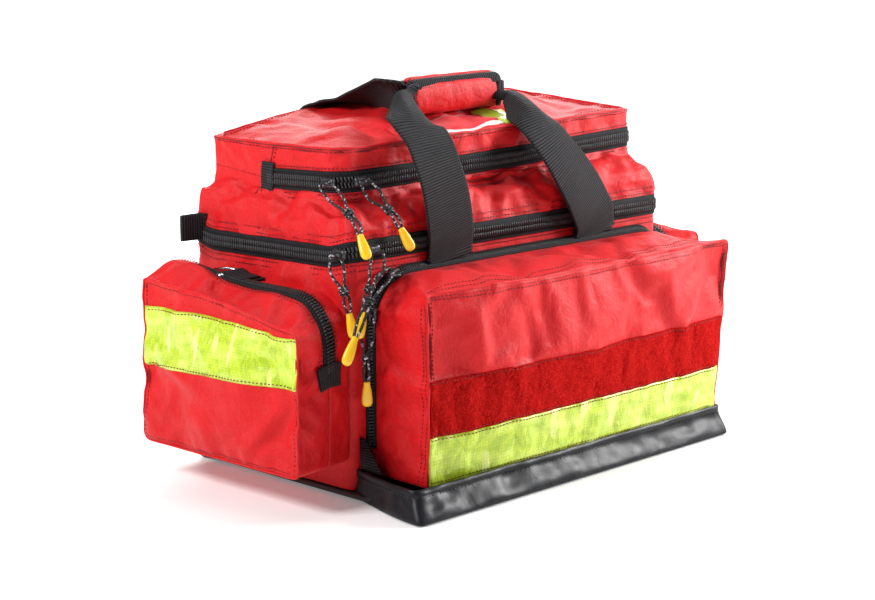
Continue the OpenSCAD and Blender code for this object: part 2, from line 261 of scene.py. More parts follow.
def tarpaulin():
    """PVC-coated black cloth: a smooth glossy skin with soft dents and sharp little creases."""
    m = Mat("black_tarpaulin", (0.006, 0.006, 0.008), 0.42, Coat_Weight=0.04, Coat_Roughness=0.3,
            Specular_IOR_Level=0.2)
    big = m.noise(60, 2, 0.45, distort=0.5)
    m.color(m.ramp(big, [(0.3, (0.004, 0.004, 0.006)), (0.8, (0.014, 0.015, 0.019))]))
    m.rough(m.noise(9, 3), 0.34, 0.55)
    m.dent(big, 0.8)
    m.dent(m.noise(16, 2, 0.5, distort=0.6), 0.5)
    m.dent(m.noise(0.9, 2, 0.6), 0.04)
    return m.m


def webbing_mat(color, light):
    """Ribbed webbing. It reads the strip's own UV, in metres across and along."""
    m = Mat("black_webbing", color, 0.65, Sheen_Weight=0.03, Sheen_Roughness=0.5, Specular_IOR_Level=0.14)
    ribs = m.wave(2.2, "Y", uv=True)
    ends = m.wave(1.1, "X", uv=True)
    weave = m.times(ribs, m.math("ADD", m.times(ends, 0.5), 0.5))
    fuzz = m.noise(0.8, 2, 0.7)
    worn = m.mix(m.noise(40, 3), color, tuple(c * 1.6 for c in color))
    m.color(m.mix(m.times(weave, 0.8), worn, light))
    m.rough(fuzz, 0.48, 0.78)
    m.dent(m.noise(26, 2), 1.0)
    m.dent(weave, 0.9)
    m.dent(fuzz, 0.06)
    return m.m


def tape_mat(color, light):
    """Zip tape, with a fine diagonal weave."""
    m = Mat("zip_tape", color, 0.7, Specular_IOR_Level=0.14)
    bone = m.wave(1.4, "DIAGONAL", uv=True)
    m.color(m.mix(m.times(bone, 0.6), color, light))
    m.dent(m.noise(14, 2), 0.5)
    m.dent(bone, 0.15)
    m.dent(m.noise(1.0, 2), 0.05)
    return m.m


def hivis_mat():
    """Fluorescent reflective film: welded panes, a fine lattice under a glossy face, soft creases with painted
    shade in them.
    """
    # the faint emission is a painted glow: the film gives off this green light whatever light falls on it
    m = Mat("reflective_tape", (0.62, 0.95, 0.01), 0.3, Coat_Weight=0.25, Coat_Roughness=0.15,
            Specular_IOR_Level=0.4, Emission_Color=(0.55, 0.9, 0.02, 1), Emission_Strength=0.02)
    pane = m.noise(24, 2, 0.5, uv=True, stretch=(0.35, 1.6, 1))
    creased = m.noise(7, 3, 0.6, uv=True, stretch=(0.9, 0.5, 1), distort=1.6)
    lattice = m.math("MAXIMUM", m.wave(2.6, "X", uv=True), m.wave(2.6, "Y", uv=True))
    weld = m.times(m.wave(37, "X", uv=True, distort=0.4), m.noise(40, 1, uv=True))
    # the creased mask darkens the film to olive: painted shade in its creases
    shade = m.mix(m.mask(creased, 0.38, 0.66), (0.62, 0.76, 0.05), (0.36, 0.52, 0.016))
    shade = m.mix(m.mask(pane, 0.42, 0.70, 0.8), shade, (0.74, 0.86, 0.16))
    shade = m.mix(m.mask(weld, 0.50, 0.54, 0.6), shade, (0.95, 1.0, 0.35))
    cut = m.ramp(lattice, [(0.80, (1, 1, 1)), (0.98, (0.80, 0.88, 0.66))])
    m.color(m.mix(1.0, shade, cut, "MULTIPLY"))
    m.rough(creased, 0.12, 0.4)
    m.dent(pane, 1.6)
    m.dent(creased, 0.8)
    m.dent(weld, 0.1)
    m.dent(lattice, 0.04)
    return m.m


def loop_mat():
    """Loop pile: painted shade between the loops, with painted highlights on the curled fibres standing out of
    it.
    """
    m = Mat("loop_fabric", (0.40, 0.004, 0.005), 0.95, Sheen_Weight=0.02, Sheen_Roughness=0.5,
            Sheen_Tint=(1, 0.3, 0.25, 1), Specular_IOR_Level=0.05)
    curl = m.noise(1.5, 3, 0.8, distort=2.0)
    patch = m.noise(12, 4, 0.75, distort=0.8)
    # the curl ramp paints shade low between the loops and highlights on the raised fibres, where the curl bump
    # stands highest
    shade = m.ramp(curl, [(0.34, (0.14, 0.0008, 0.001)), (0.50, (0.62, 0.004, 0.004)),
                          (0.68, (0.95, 0.035, 0.022))])
    m.color(m.mix(m.times(patch, 0.55), shade, (0.16, 0.001, 0.001)))
    m.dent(patch, 0.8)
    m.dent(curl, 1.2)
    return m.m


def cord_mat():
    """Braided black cord with pale flecks."""
    m = Mat("pull_cord", (0.010, 0.010, 0.012), 0.6, Specular_IOR_Level=0.4)
    cell = m.node("ShaderNodeTexVoronoi", Vector=m.where(scale=(1 / (1.4 * MM),) * 3), Scale=1.0)
    pick = m.node("ShaderNodeSeparateColor", Color=cell.outputs["Color"]).outputs[0]
    fleck = m.mask(pick, 0.84, 0.88)
    m.color(m.mix(fleck, (0.010, 0.010, 0.012), (0.45, 0.44, 0.46)))
    m.dent(cell.outputs["Distance"], 0.4)
    return m.m


def plain_mat(name, color, light, rough, size=6.0, depth=0.08, **sockets):
    """Moulded, painted or cast surface with a fine uneven skin."""
    m = Mat(name, color, rough, **sockets)
    n = m.noise(size, 4, 0.6)
    m.color(m.mix(m.times(n, 0.7), color, light))
    m.rough(m.noise(size * 0.4, 3), rough * 0.75, min(1.0, rough * 1.3))
    m.dent(n, depth)
    m.dent(m.noise(0.5, 2), 0.02)
    return m.m


black_tarpaulin = tarpaulin()
webbing = webbing_mat((0.004, 0.004, 0.005), (0.062, 0.058, 0.063))
zip_tape = tape_mat((0.006, 0.006, 0.007), (0.020, 0.019, 0.021))
zip_coil = plain_mat("zip_coil", (0.016, 0.016, 0.018), (0.07, 0.07, 0.075), 0.45, Specular_IOR_Level=0.4)
hivis = hivis_mat()
loop_fabric = loop_mat()
pull_cord = cord_mat()
pull_plastic = plain_mat("pull_plastic", (0.95, 0.52, 0.008), (0.98, 0.62, 0.02), 0.32, size=3.0, depth=0.1,
                         Coat_Weight=0.2, Subsurface_Weight=0.05)
slider_metal = plain_mat("slider_metal", (0.035, 0.036, 0.040), (0.10, 0.10, 0.11), 0.34, Metallic=0.7)
ring_steel = plain_mat("ring_steel", (0.62, 0.62, 0.64), (0.78, 0.78, 0.80), 0.2, Metallic=1.0)
red_thread = plain_mat("red_thread", (0.13, 0.001, 0.002), (0.24, 0.002, 0.004), 0.6, size=1.5)
black_thread = plain_mat("black_thread", (0.014, 0.014, 0.015), (0.05, 0.05, 0.05), 0.6, size=1.5)
board_mat = plain_mat("stiffener_board", (0.035, 0.035, 0.037), (0.06, 0.06, 0.062), 0.7, size=14.0, depth=0.3)
pink_fabric = woven("pink_backing", (0.80, 0.020, 0.028), (0.62, 0.010, 0.016), 0.5, sheen=0.4, crease=0.4).m
white_strip = plain_mat("white_film", (0.82, 0.82, 0.80), (0.70, 0.71, 0.70), 0.35, size=8.0, depth=0.3)


# ---------------------------------------------------------------- mesh tools
def ring_faces(rows, n, loop=False, caps=True):
    """Faces of a tube whose vertices are rows of n, closed on itself or capped."""
    faces = []
    for i in range(rows if loop else rows - 1):
        r, s = i * n, ((i + 1) % rows) * n
        faces += [[r + j, r + (j + 1) % n, s + (j + 1) % n, s + j] for j in range(n)]
    if caps and not loop:
        faces += [list(range(n))[::-1], list(range((rows - 1) * n, rows * n))]
    return faces


class Part:
    """Collects geometry in millimetres, then makes one piece of it."""

    def __init__(self):
        self.v, self.f, self.uv, self.mi = [], [], [], []

    def add(self, verts, faces, uvs=None, mat=0):
        k = len(self.v)
        self.v += [Vector(p) for p in verts]
        self.uv += uvs if uvs else [(0.0, 0.0)] * len(verts)
        self.f += [[k + i for i in f] for f in faces]
        self.mi += [mat] * len(faces)

    def sweep(self, path, section, caps=True, loop=False, swell=None):
        """Carries a closed section of (across, out) points along a path of (point, across, out) frames."""
        rows = len(path)
        verts, uvs = [], []
        run = 0.0
        girth = [0.0]
        for (a, b), (c, d) in zip(section, section[1:]):
            girth.append(girth[-1] + math.hypot(c - a, d - b))
        for i, (p, across, out) in enumerate(path):
            if i:
                run += (p - path[i - 1][0]).length
            k = swell(i / (rows - 1)) if swell else 1.0
            for j, (a, b) in enumerate(section):
                verts.append(p + across * (a * k) + out * (b * k))
                uvs.append((girth[j] * MM, run * MM))
        self.add(verts, ring_faces(rows, len(section), loop, caps), uvs)

    def tube(self, points, radius, sides, caps=True, loop=False, swell=None):
        ring = [(radius * math.cos(2 * math.pi * k / sides), radius * math.sin(2 * math.pi * k / sides))
                for k in range(sides)]
        self.sweep(frames_along(points, loop), ring, caps, loop, swell)

    def make(self, name, body, mat, slot, replaces=(), sub=0):
        mesh = bpy.data.meshes.new(name)
        mesh.from_pydata([p * MM for p in self.v], [], self.f)
        layer = mesh.uv_layers.new(name="UVMap")
        for loop in mesh.loops:
            layer.data[loop.index].uv = self.uv[loop.vertex_index]
        for m in (mat if isinstance(mat, (list, tuple)) else [mat]):
            mesh.materials.append(m)
        for poly, k in zip(mesh.polygons, self.mi):
            poly.material_index = k
        return place_mesh(mesh, name, body, replaces, sub, fix=True)


def place_mesh(mesh, name, body, replaces=(), sub=0, fix=False):
    """Makes the piece, subdivides it, and puts it on its body. fix turns all faces outwards."""
    mesh.validate()
    obj = new_object(name, mesh)
    if fix:
        bm = bmesh.new()
        bm.from_mesh(mesh)
        bmesh.ops.recalc_face_normals(bm, faces=bm.faces)
        bm.to_mesh(mesh)
        bm.free()
    mesh.shade_smooth()
    if sub:
        apply(obj, "SUBSURF", levels=sub, render_levels=sub)
    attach(obj, body)
    if replaces:
        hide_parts(*replaces)
    return obj


def apply(obj, kind, **settings):
    mod = obj.modifiers.new(kind.lower(), kind)
    for key, value in settings.items():
        setattr(mod, key, value)
    with bpy.context.temp_override(object=obj, active_object=obj, selected_objects=[obj]):
        bpy.ops.object.modifier_apply(modifier=mod.name)
    return obj


def frames_along(points, loop=False):
    """Frames along a line that don't twist."""
    pts = [Vector(p) for p in points]
    n = len(pts)
    ways = []
    for i in range(n):
        a = pts[i - 1] if (i or loop) else pts[i]
        b = pts[(i + 1) % n] if (i < n - 1 or loop) else pts[i]
        ways.append((b - a).normalized())
    side = ways[0].orthogonal().normalized()
    out = []
    for p, way in zip(pts, ways):
        side = square_to(side, way)
        out.append((p, side, way.cross(side)))
    return out


def curve_points(stops, step=3.0, loop=False):
    """A smooth line through the stops, with points about a step apart."""
    p = [Vector(s) for s in stops]
    n = len(p)
    out = []
    for i in range(n if loop else n - 1):
        if loop:
            a, b, c, d = p[(i - 1) % n], p[i], p[(i + 1) % n], p[(i + 2) % n]
        else:
            b, c = p[i], p[i + 1]
            a = p[i - 1] if i else b * 2 - c
            d = p[i + 2] if i + 2 < n else c * 2 - b
        k = max(1, round((c - b).length / step))
        for j in range(k):
            t = j / k
            out.append(0.5 * (2 * b + (c - a) * t + (2 * a - 5 * b + 4 * c - d) * t * t
                              + (3 * b - a - 3 * c + d) * t ** 3))
    if not loop:
        out.append(p[-1])
    return out


def evenly(points, step):
    """The same line with points a step apart."""
    out = [points[0]]
    left = step
    for a, b in zip(points, points[1:]):
        d = (b[0] - a[0]).length if isinstance(a, tuple) else (b - a).length
        while d > 0 and left <= d:
            t = left / d
            out.append(tuple(x.lerp(y, t) for x, y in zip(a, b)) if isinstance(a, tuple) else a.lerp(b, t))
            left += step
        left -= d
    return out


CLOTH_FRAMES = 18


class Shell:
    """Skin over a box-shaped grid. place(u, v, w) gives the point for grid place u, v, w in 0..1."""

    SIDES = {"x-": (0, 0), "x+": (0, 1), "y-": (1, 0), "y+": (1, 1), "z-": (2, 0), "z+": (2, 1)}

    def __init__(self, cells, place, open_sides=()):
        self.n, self.place = cells, place
        self.key, self.pos, self.par, self.faces = {}, [], [], []
        for name, (ax, end) in self.SIDES.items():
            if name in open_sides:
                continue
            a, b = (k for k in range(3) if k != ax)
            outward = (end == 1) if ax != 1 else (end == 0)
            for i in range(cells[a]):
                for j in range(cells[b]):
                    quad = []
                    for di, dj in ((0, 0), (1, 0), (1, 1), (0, 1)):
                        g = [0, 0, 0]
                        g[ax], g[a], g[b] = end * cells[ax], i + di, j + dj
                        quad.append(self.vertex(tuple(g)))
                    self.faces.append(quad if outward else quad[::-1])

    def vertex(self, g):
        if g not in self.key:
            self.key[g] = len(self.pos)
            par = tuple(x / n for x, n in zip(g, self.n))
            self.par.append(par)
            self.pos.append(Vector(self.place(*par)))
        return self.key[g]

    def normals(self):
        out = [Vector() for _ in self.pos]
        for f in self.faces:
            n = (self.pos[f[2]] - self.pos[f[0]]).cross(self.pos[f[3]] - self.pos[f[1]])
            for i in f:
                out[i] += n
        return [n.normalized() for n in out]

    def push(self, amount):
        """Moves each vertex along its normal by amount(point, par)."""
        normals = self.normals()
        for i, n in enumerate(normals):
            self.pos[i] = self.pos[i] + n * amount(self.pos[i], self.par[i])

    def mesh(self, name):
        mesh = bpy.data.meshes.new(name)
        mesh.from_pydata([p * MM for p in self.pos], [], self.faces)
        mesh.update()
        return mesh

    def puff(self, pinned, pressure, grow, cap, bending=0.4):
        """Cloth run: the skin grows a little and is blown out, while its seams stay where they are."""
        mesh = self.mesh("cloth")
        obj = new_object("cloth", mesh)
        group = obj.vertex_groups.new(name="pin")
        for i, (p, par) in enumerate(zip(self.pos, self.par)):
            w = pinned(p, par)
            if w > 0:
                group.add([i], clamp(w), "REPLACE")
        mod = obj.modifiers.new("cloth", "CLOTH")
        s = mod.settings
        s.quality = 5
        s.mass = 0.2
        s.tension_stiffness = s.compression_stiffness = 22
        s.shear_stiffness = 10
        s.bending_stiffness = bending
        s.use_pressure = True
        s.uniform_pressure_force = pressure
        s.vertex_group_mass = "pin"
        s.shrink_min = -grow
        s.effector_weights.gravity = 0
        mod.collision_settings.use_collision = False
        mod.point_cache.frame_end = CLOTH_FRAMES + 1
        for k in range(1, CLOTH_FRAMES + 1):
            SCENE.frame_set(k)
        got = obj.evaluated_get(bpy.context.evaluated_depsgraph_get()).to_mesh()
        for i, v in enumerate(got.vertices):
            move = v.co / MM - self.pos[i]
            if move.length > cap:
                move = move * (cap / move.length)
            self.pos[i] = self.pos[i] + move
        SCENE.frame_set(1)
        bpy.data.objects.remove(obj)
        bpy.data.meshes.remove(mesh)

    def make(self, name, body, mat, slot, replaces=(), thick=3.0, sub=1, inner=None):
        mesh = self.mesh(name)
        mesh.materials.append(mat)
        if inner:
            mesh.materials.append(inner)
        obj = place_mesh(mesh, name, body, replaces)
        if sub:
            apply(obj, "SUBSURF", levels=sub, render_levels=sub)
            for i in range(len(self.pos)):
                self.pos[i] = obj.data.vertices[i].co / MM
        if thick:
            apply(obj, "SOLIDIFY", thickness=thick * MM, offset=-1, material_offset=1 if inner else 0)
        return obj

    def at(self, side, s, t):
        """Point and outward normal at place s, t of one side of the grid."""
        ax, end = self.SIDES[side]
        a, b = (k for k in range(3) if k != ax)
        x, y = clamp(s) * self.n[a], clamp(t) * self.n[b]
        i, j = min(int(x), self.n[a] - 1), min(int(y), self.n[b] - 1)
        fx, fy = x - i, y - j
        c = []
        for di, dj in ((0, 0), (1, 0), (1, 1), (0, 1)):
            g = [0, 0, 0]
            g[ax], g[a], g[b] = end * self.n[ax], i + di, j + dj
            c.append(self.pos[self.key[tuple(g)]])
        p = c[0].lerp(c[1], fx).lerp(c[3].lerp(c[2], fx), fy)
        n = (c[2] - c[0]).cross(c[3] - c[1]).normalized()
        return p, (n if ((end == 1) if ax != 1 else (end == 0)) else -n)

    def line(self, side, stops, step=1.5):
        """Evenly spaced (point, normal) pairs along straight runs between (s, t) stops on a side."""
        out = []
        for (s0, t0), (s1, t1) in zip(stops, stops[1:]):
            n = 120
            out += [self.at(side, lerp(s0, s1, k / n), lerp(t0, t1, k / n)) for k in range(n + 1)]
        return evenly(out, step)


def stitch_line(part, line, pitch=3.6, long=2.5, wide=0.42, lift=0.25, mat=0):
    """Lays slim stitches along (point, normal) pairs."""
    run = evenly(line, pitch)
    for (p, n), (q, _) in zip(run, run[1:]):
        way = q - p
        if way.length < pitch * 0.5:
            continue
        way.normalize()
        n = square_to(n, way)
        side = way.cross(n)
        c = p + n * lift
        a, b = c - way * (long / 2), c + way * (long / 2)
        m0, m1 = c - way * (long * 0.3), c + way * (long * 0.3)
        ring = []
        for m in (m0, m1):
            ring += [m + side * wide, m + n * wide, m - side * wide, m - n * wide]
        part.add([a - n * wide] + ring + [b - n * wide],
                 [[0, 2, 1], [0, 3, 2], [0, 4, 3], [0, 1, 4], [1, 2, 6, 5], [2, 3, 7, 6], [3, 4, 8, 7],
                  [4, 1, 5, 8], [5, 6, 9], [6, 7, 9], [7, 8, 9], [8, 5, 9]], mat=mat)


def strip_section(width, thick, crown):
    """Closed section of a flat strip with rounded edges, its outer face towards +out."""
    cells = 8
    h, t = width / 2, thick / 2
    xs = [lerp(-h + t * 0.6, h - t * 0.6, k / cells) for k in range(cells + 1)]
    top = [(x, t + crown * (1 - (x / h) ** 2)) for x in xs]
    low = [(x, -t + crown * (1 - (x / h) ** 2)) for x in reversed(xs)]
    return top + [(h, 0)] + low + [(-h, 0)]


def strip_path(points, across, step=3.0):
    """Frames for a strip along a line, its width along across. Its outer face looks to way x across."""
    pts = evenly(curve_points(points, step / 2), step)
    out = []
    for i, p in enumerate(pts):
        way = way_at(pts, i)
        a = square_to(Vector(across), way)
        out.append((p, a, a.cross(way)))
    return out


# ---------------------------------------------------------------- outline of the bag
END, FRONT, BACK, POCKET_FRONT = 189.0, -60.0, 130.0, -134.0
UPPER_END, UPPER_FRONT, UPPER_BACK = 176.0, -35.0, 120.0
UPPER_ZIP_END = 50      # how far back the upper zip runs
TAPE = 8.4      # a zip tape's width
SKIN = 1.3      # how far a skin's middle lies inside the CAD's face
GAP = 0.3       # half the gap between two sewn pieces at a zip
FAR = 1e9


def rounded(x, y, a, b, r):
    """The point x, y, pulled in where the box between corners a and b is rounded by r."""
    dx = x - clamp(x, a[0] + r, b[0] - r)
    dy = y - clamp(y, a[1] + r, b[1] - r)
    d = math.hypot(dx, dy)
    if d > r:
        x, y = x - dx + dx * r / d, y - dy + dy * r / d
    return x, y


SHARP = 4.5     # corner radius of a footprint, but for its front left corner


def plan(u, v, a, b, r):
    """Point of a footprint between corners a and b, rounded by r at its front left."""
    x, y = lerp(a[0], b[0], u), lerp(a[1], b[1], v)
    if x > (a[0] + b[0]) / 2 or y > (a[1] + b[1]) / 2:
        r = min(r, SHARP)
    return rounded(x, y, a, b, r)


def main_zip(x, y):
    """Height of the main zip: it falls to the right, and droops along the bag's ends."""
    right = clamp((x / END + 1) / 2)
    front = lerp(204.5, 196.5, right)
    end = lerp(lerp(198.5, 195.5, right), 193.5, clamp((y + 46) / 156))
    z = lerp(front, end, smooth((y - FRONT) / 26))
    return lerp(z, 199.3, smooth((y - 104) / 26))


def upper_zip(x, y):
    """Height of the upper compartment's zip, which dips along its ends."""
    front = 255.5 - 1.2 * math.sin(math.pi * clamp((x / UPPER_END + 1) / 2))
    end = lerp(250, 255.5, clamp((y - 58) / 60)) if y > 58 else lerp(255, 250, clamp((y + 20) / 78))
    return lerp(front, end, smooth((y - UPPER_FRONT) / 20))


def rim(shell, runs, step=3.0):
    """(point, normal, way into the cloth) along runs of (side, start, end, inward) on a shell's edge."""
    raw = []
    for side, a, b, inward in runs:
        n = max(2, round(240 * max(abs(b[0] - a[0]), abs(b[1] - a[1]))))
        for k in range(n + 1):
            s, t = lerp(a[0], b[0], k / n), lerp(a[1], b[1], k / n)
            p, normal = shell.at(side, s, t)
            q, _ = shell.at(side, s + inward[0], t + inward[1])
            if raw and (p - raw[-1][0]).length < 0.05:
                continue
            raw.append((p, normal, (q - p).normalized()))
    run = evenly(raw, step)
    soft = []
    for i in range(len(run)):
        part = run[max(0, i - 2):i + 3]
        n = sum((x[1] for x in part), Vector()).normalized()
        d = square_to(sum((x[2] for x in part), Vector()), n)
        soft.append((run[i][0], n, d))
    return soft


TOOTH_PITCH, TOOTH_SLANT, TOOTH_REACH = 2.7, 0.45, 4.2
TOOTH_WIDE, TOOTH_HIGH = 0.92, 1.1


def zip_half(name, line, body, replaces, width=TAPE, lift=1.3):
    """Half of a zip along a rim: woven tape lying on the cloth, its sewn edge, and one row of coil."""
    part = Part()
    tape = [(0.0, -1.5), (width, -1.5), (width, -0.1), (width - 0.4, 0.15), (5.0, 0.2), (4.8, 0.9), (4.1, 1.1),
            (3.8, 0.3), (0.0, 0.25)]
    part.sweep([(p + n * lift, d, n) for p, n, d in line], tape)
    for p, n, d in evenly(line, TOOTH_PITCH):
        way = n.cross(d)
        c = p + n * (lift + 0.85)
        ring = []
        for far, push in ((-0.1, -TOOTH_SLANT), (TOOTH_REACH, TOOTH_SLANT)):
            base = c + d * far + way * push
            for k in range(6):
                a = math.pi / 3 * k
                ring.append(base + way * (TOOTH_WIDE * math.cos(a)) + n * (TOOTH_HIGH * math.sin(a)))
        part.add(ring, ring_faces(2, 6), mat=1)
    sewn_edge = [(p + d * (width - 1.3) + n * lift, n) for p, n, d in line]
    stitch_line(part, sewn_edge, 3.2, 2.1, 0.28, 0.2, mat=2)
    part.make(name, body, [zip_tape, zip_coil, black_thread], "zip_tape", replaces)


def raised(line, lift):
    """The same (point, normal) pairs, further out."""
    return [(p + n * lift, n) for p, n in line]


def sew(name, body, lines, mat=None, slot="red_polyester", **how):
    """One piece made of rows of stitches along (point, normal) lines."""
    part = Part()
    for line in lines:
        stitch_line(part, line, **how)
    part.make(name, body, mat or red_thread, slot)


def sew_rows(name, body, line, offsets, lift):
    """Rows of stitches beside a zip, at those distances from the rim."""
    sew(name, body, [[(p + d * off + n * lift, n) for p, n, d in line] for off in offsets],
        pitch=3.6, long=2.6, wide=0.46, lift=0.25)


def padded_piece(shell, name, body, replaces, thick):
    """A padded red panel with its lining on the inner face."""
    made = shell.make(name, body, red, "red_polyester", replaces, thick=thick, inner=lining)


PATCH_UV = (0.35, 0.15)     # metres of film for the whole of a shell's side, across and up


def patch(shell, side, s, t, cells, lift, mat, name, body, slot, replaces, relief, slope=(0, 0)):
    """A flat strip sewn on one side of a shell, between places s and t, with its edges turned down.

    slope is how far the strip's two long edges stand above t where s is 0.
    """
    ns, nt = cells
    part = Part()
    verts, uvs, faces = [], [], []
    for j in range(-1, nt + 2):
        for i in range(-1, ns + 2):
            ci, cj = clamp(i, 0, ns), clamp(j, 0, nt)
            skirt = ci != i or cj != j
            at_s = lerp(s[0], s[1], ci / ns)
            low, high = (edge + tilt * (1 - at_s) for edge, tilt in zip(t, slope))
            p, n = shell.at(side, at_s, lerp(low, high, cj / nt))
            rise = lift * (0.55 if ci in (0, ns) or cj in (0, nt) else 1.0)
            if not skirt:
                rise += relief(p, ci / ns, cj / nt)
            verts.append(p + n * (-0.6 if skirt else rise))
            uvs.append((ci / ns * abs(s[1] - s[0]) * PATCH_UV[0], cj / nt * abs(t[1] - t[0]) * PATCH_UV[1]))
    w = ns + 3
    for j in range(nt + 2):
        for i in range(ns + 2):
            faces.append([j * w + i, j * w + i + 1, (j + 1) * w + i + 1, (j + 1) * w + i])
    part.add(verts, faces, uvs)
    part.make(name, body, mat, slot, replaces)


# ---------------------------------------------------------------- base tray
TRAY_HIGH = 24.5


def tray_place(u, v, w):
    """The tray's skirt stands out at the front and the left corner, and is tucked in along the left end."""
    foot = 1 - smooth(w * 1.1)
    skirt = (4 + foot * 14) * (1 - v) * (1 - 0.35 * u)
    tuck = (lerp(-6 - 8 * foot, 15.0, smooth(v / 0.5)) - 14 * smooth((v - 0.8) / 0.18)) * (1 - u)
    front_left = (-END + 0.6 + tuck, POCKET_FRONT + 0.6 - skirt)
    back_right = (END - 0.6 + 0.3 * skirt, BACK + 1.2 + 2 * foot)
    return *plan(u, v, front_left, back_right, 6), TRAY_HIGH * w


tray = Shell((72, 50, 6), tray_place, ("z+",))


# creases, as (start, end, height, width)
TRAY_CREASES = (
    ((-184, -134, 24), (-191, -141, 2), 3.2, 4), ((-190, -90, 22), (-194, -50, 6), 2.6, 7),
    ((-190, -110, 8), (-190, -30, 20), -2.4, 8), ((-60, -136, 20), (20, -138, 4), 1.8, 12),
    ((120, -134, 6), (170, -136, 20), -2, 9), ((-150, -136, 16), (-90, -140, 6), 1.8, 9),
)


def tray_wrinkles(p, par):
    if par[2] == 0:
        return 0.0
    rise = math.sin(math.pi * clamp(par[2], 0.05, 1))
    near = math.exp(-((p.x + 182) ** 2 + (p.y + 128) ** 2) / 1500)
    q = Vector((p.x, p.y, p.z * 1.6))
    h = 1.0 * ripple(q, 30, 2.0) * (0.5 + rise) + 0.6 * ripple(q, 12, 5.0)
    h += near * (1.6 * rise + 1.6 * ripple(q, 11, 7.0))
    h += folds(p, TRAY_CREASES)
    return h


tray.push(tray_wrinkles)
for p in tray.pos:
    p.z = max(0.0, p.z)
tray.make("tray_skin", "bag", black_tarpaulin, "black_tarpaulin", ["base_tray"], thick=1.5, sub=2)

trim = Part()
tray_rim = rim(tray, [("x-", (1, 1), (0, 1), (0, -0.3)), ("y-", (0, 1), (1, 1), (0, -0.3)),
                      ("x+", (0, 1), (1, 1), (0, -0.3)), ("y+", (1, 1), (0, 1), (0, -0.3))])
trim.sweep([(p, d, n) for p, n, d in tray_rim],
           [(-0.7, -1.7), (-1.0, -0.6), (-0.6, 0.3), (4.6, 0.4), (5.0, 0.0), (4.6, -0.5)],
           caps=False, loop=True)
trim.make("tray_hem", "bag", black_tarpaulin, "black_tarpaulin")
sew("tray_stitches", "bag", [[(p + d * 5.6 + n * 0.3, n) for p, n, d in tray_rim]],
    black_thread, "black_tarpaulin", pitch=4.2, long=2.9, wide=0.36, lift=0.2)


# ---------------------------------------------------------------- main compartment
def body_place(u, v, w):
    """The main compartment's walls: u to the right, v to the back, w up to the main zip."""
    x, y = plan(u, v, (-END + SKIN - 2.0 * v, FRONT + SKIN), (END - 0.6, BACK - SKIN), 11)
    foot = lerp(7.0, 1.4, smooth((v - 0.3) / 0.25) * smooth((1 - v) / 0.14) * (1 - u) ** 8)
    return x, y, lerp(foot, main_zip(x, y) - GAP, w)


def body_swell(p, par):
    u, v, w = par
    if w == 0:
        return 0.0
    fade = smooth((1 - w) / 0.12) * smooth((w - 0.1) / 0.12)
    end = 2.6 * bump(v) * (u in (0.0, 1.0))
    back = 5.0 * bump(u) * (v == 1.0)
    return fade * (end + back + 0.7 * ripple(p, 45, 1.0) * (v > 0))


body = Shell((62, 32, 30), body_place, ("z+",))
body.push(body_swell)
body.puff(lambda p, par: 1.0 if par[2] > 0.94 or par[2] < 0.13 or par[1] == 0 else 0.0,
          pressure=1.8, grow=0.03, cap=5.0, bending=0.15)
padded_piece(body, "body_fabric", "bag", ["body_shell"], 4.2)


# ---------------------------------------------------------------- lid with the upper compartment's walls
def lid_place(u, v, w):
    """From the main zip up over the lid's shoulder, then up the upper compartment's walls to its zip."""
    g = table([(0, 0), (0.13, 0), (0.34, 0.05), (0.46, 0.22), (0.60, 0.72), (0.72, 0.97), (0.8, 1), (1, 1)], w)
    a = (lerp(-END + SKIN - 2.0 * v, -UPPER_END + SKIN - 2.5 * v, g), lerp(FRONT + SKIN, UPPER_FRONT + SKIN, g))
    b = (lerp(END - 0.6, UPPER_END + 3.0 * (1 - v), g), lerp(BACK - SKIN, UPPER_BACK - SKIN, g))
    x, y = plan(u, v, a, b, lerp(11, 19, g))
    low = main_zip(x, y) + GAP
    high = upper_zip(x, y) - (GAP if y < UPPER_ZIP_END else 0.05)
    z = table([(0, low), (0.13, low + 8.4), (0.34, 221 + 6 * v * (1 - u)), (0.46, 230 + 4 * v * (1 - u)),
               (0.60, min(235.5, high - 13)), (0.72, min(239.5, high - 10.5)), (0.84, high - 8.6),
               (1, high)], w)
    return x, y, z


LID_CREASES = (
    ((-150, -59, 226), (-128, -38, 243), 2.2, 7), ((-56, -58, 232), (-30, -36, 244), 2.6, 7),
    ((-20, -58, 226), (10, -36, 240), -2.4, 8), ((30, -58, 230), (62, -37, 244), 2.4, 7),
    ((142, -58, 222), (168, -40, 242), 2.6, 8), ((-188, -20, 214), (-186, 70, 226), 2, 10),
    ((-52, -40, 246), (60, -40, 246), -3.4, 3), ((-50, -46, 241), (66, -46, 241), 1.8, 3),
    ((-48, -52, 236), (74, -52, 236), -3.2, 3.2), ((-160, -52, 236), (-104, -44, 243), -2.4, 4),
    ((-150, -60, 214), (-110, -58, 228), 1.6, 6), ((110, -56, 232), (176, -50, 236), -2.4, 4),
    ((-188, 20, 232), (-178, 60, 240), 2, 8),
)


def lid_folds(p, par):
    w = par[2]
    fade = smooth((w - 0.10) / 0.1) * smooth((0.88 - w) / 0.08)
    h = 1.1 * ripple(p, 30, 3.0) + 0.8 * ripple(Vector((p.x, p.y, p.z * 0.5)), 14, 9.0)
    h += folds(p, LID_CREASES)
    return fade * h


lid = Shell((66, 32, 21), lid_place, ("z+", "z-"))
lid.push(lid_folds)
lid.puff(lambda p, par: 1.0 if par[2] < 0.14 or par[2] > 0.83 else 0.0,
         pressure=2.0, grow=0.055, cap=7.0, bending=0.12)


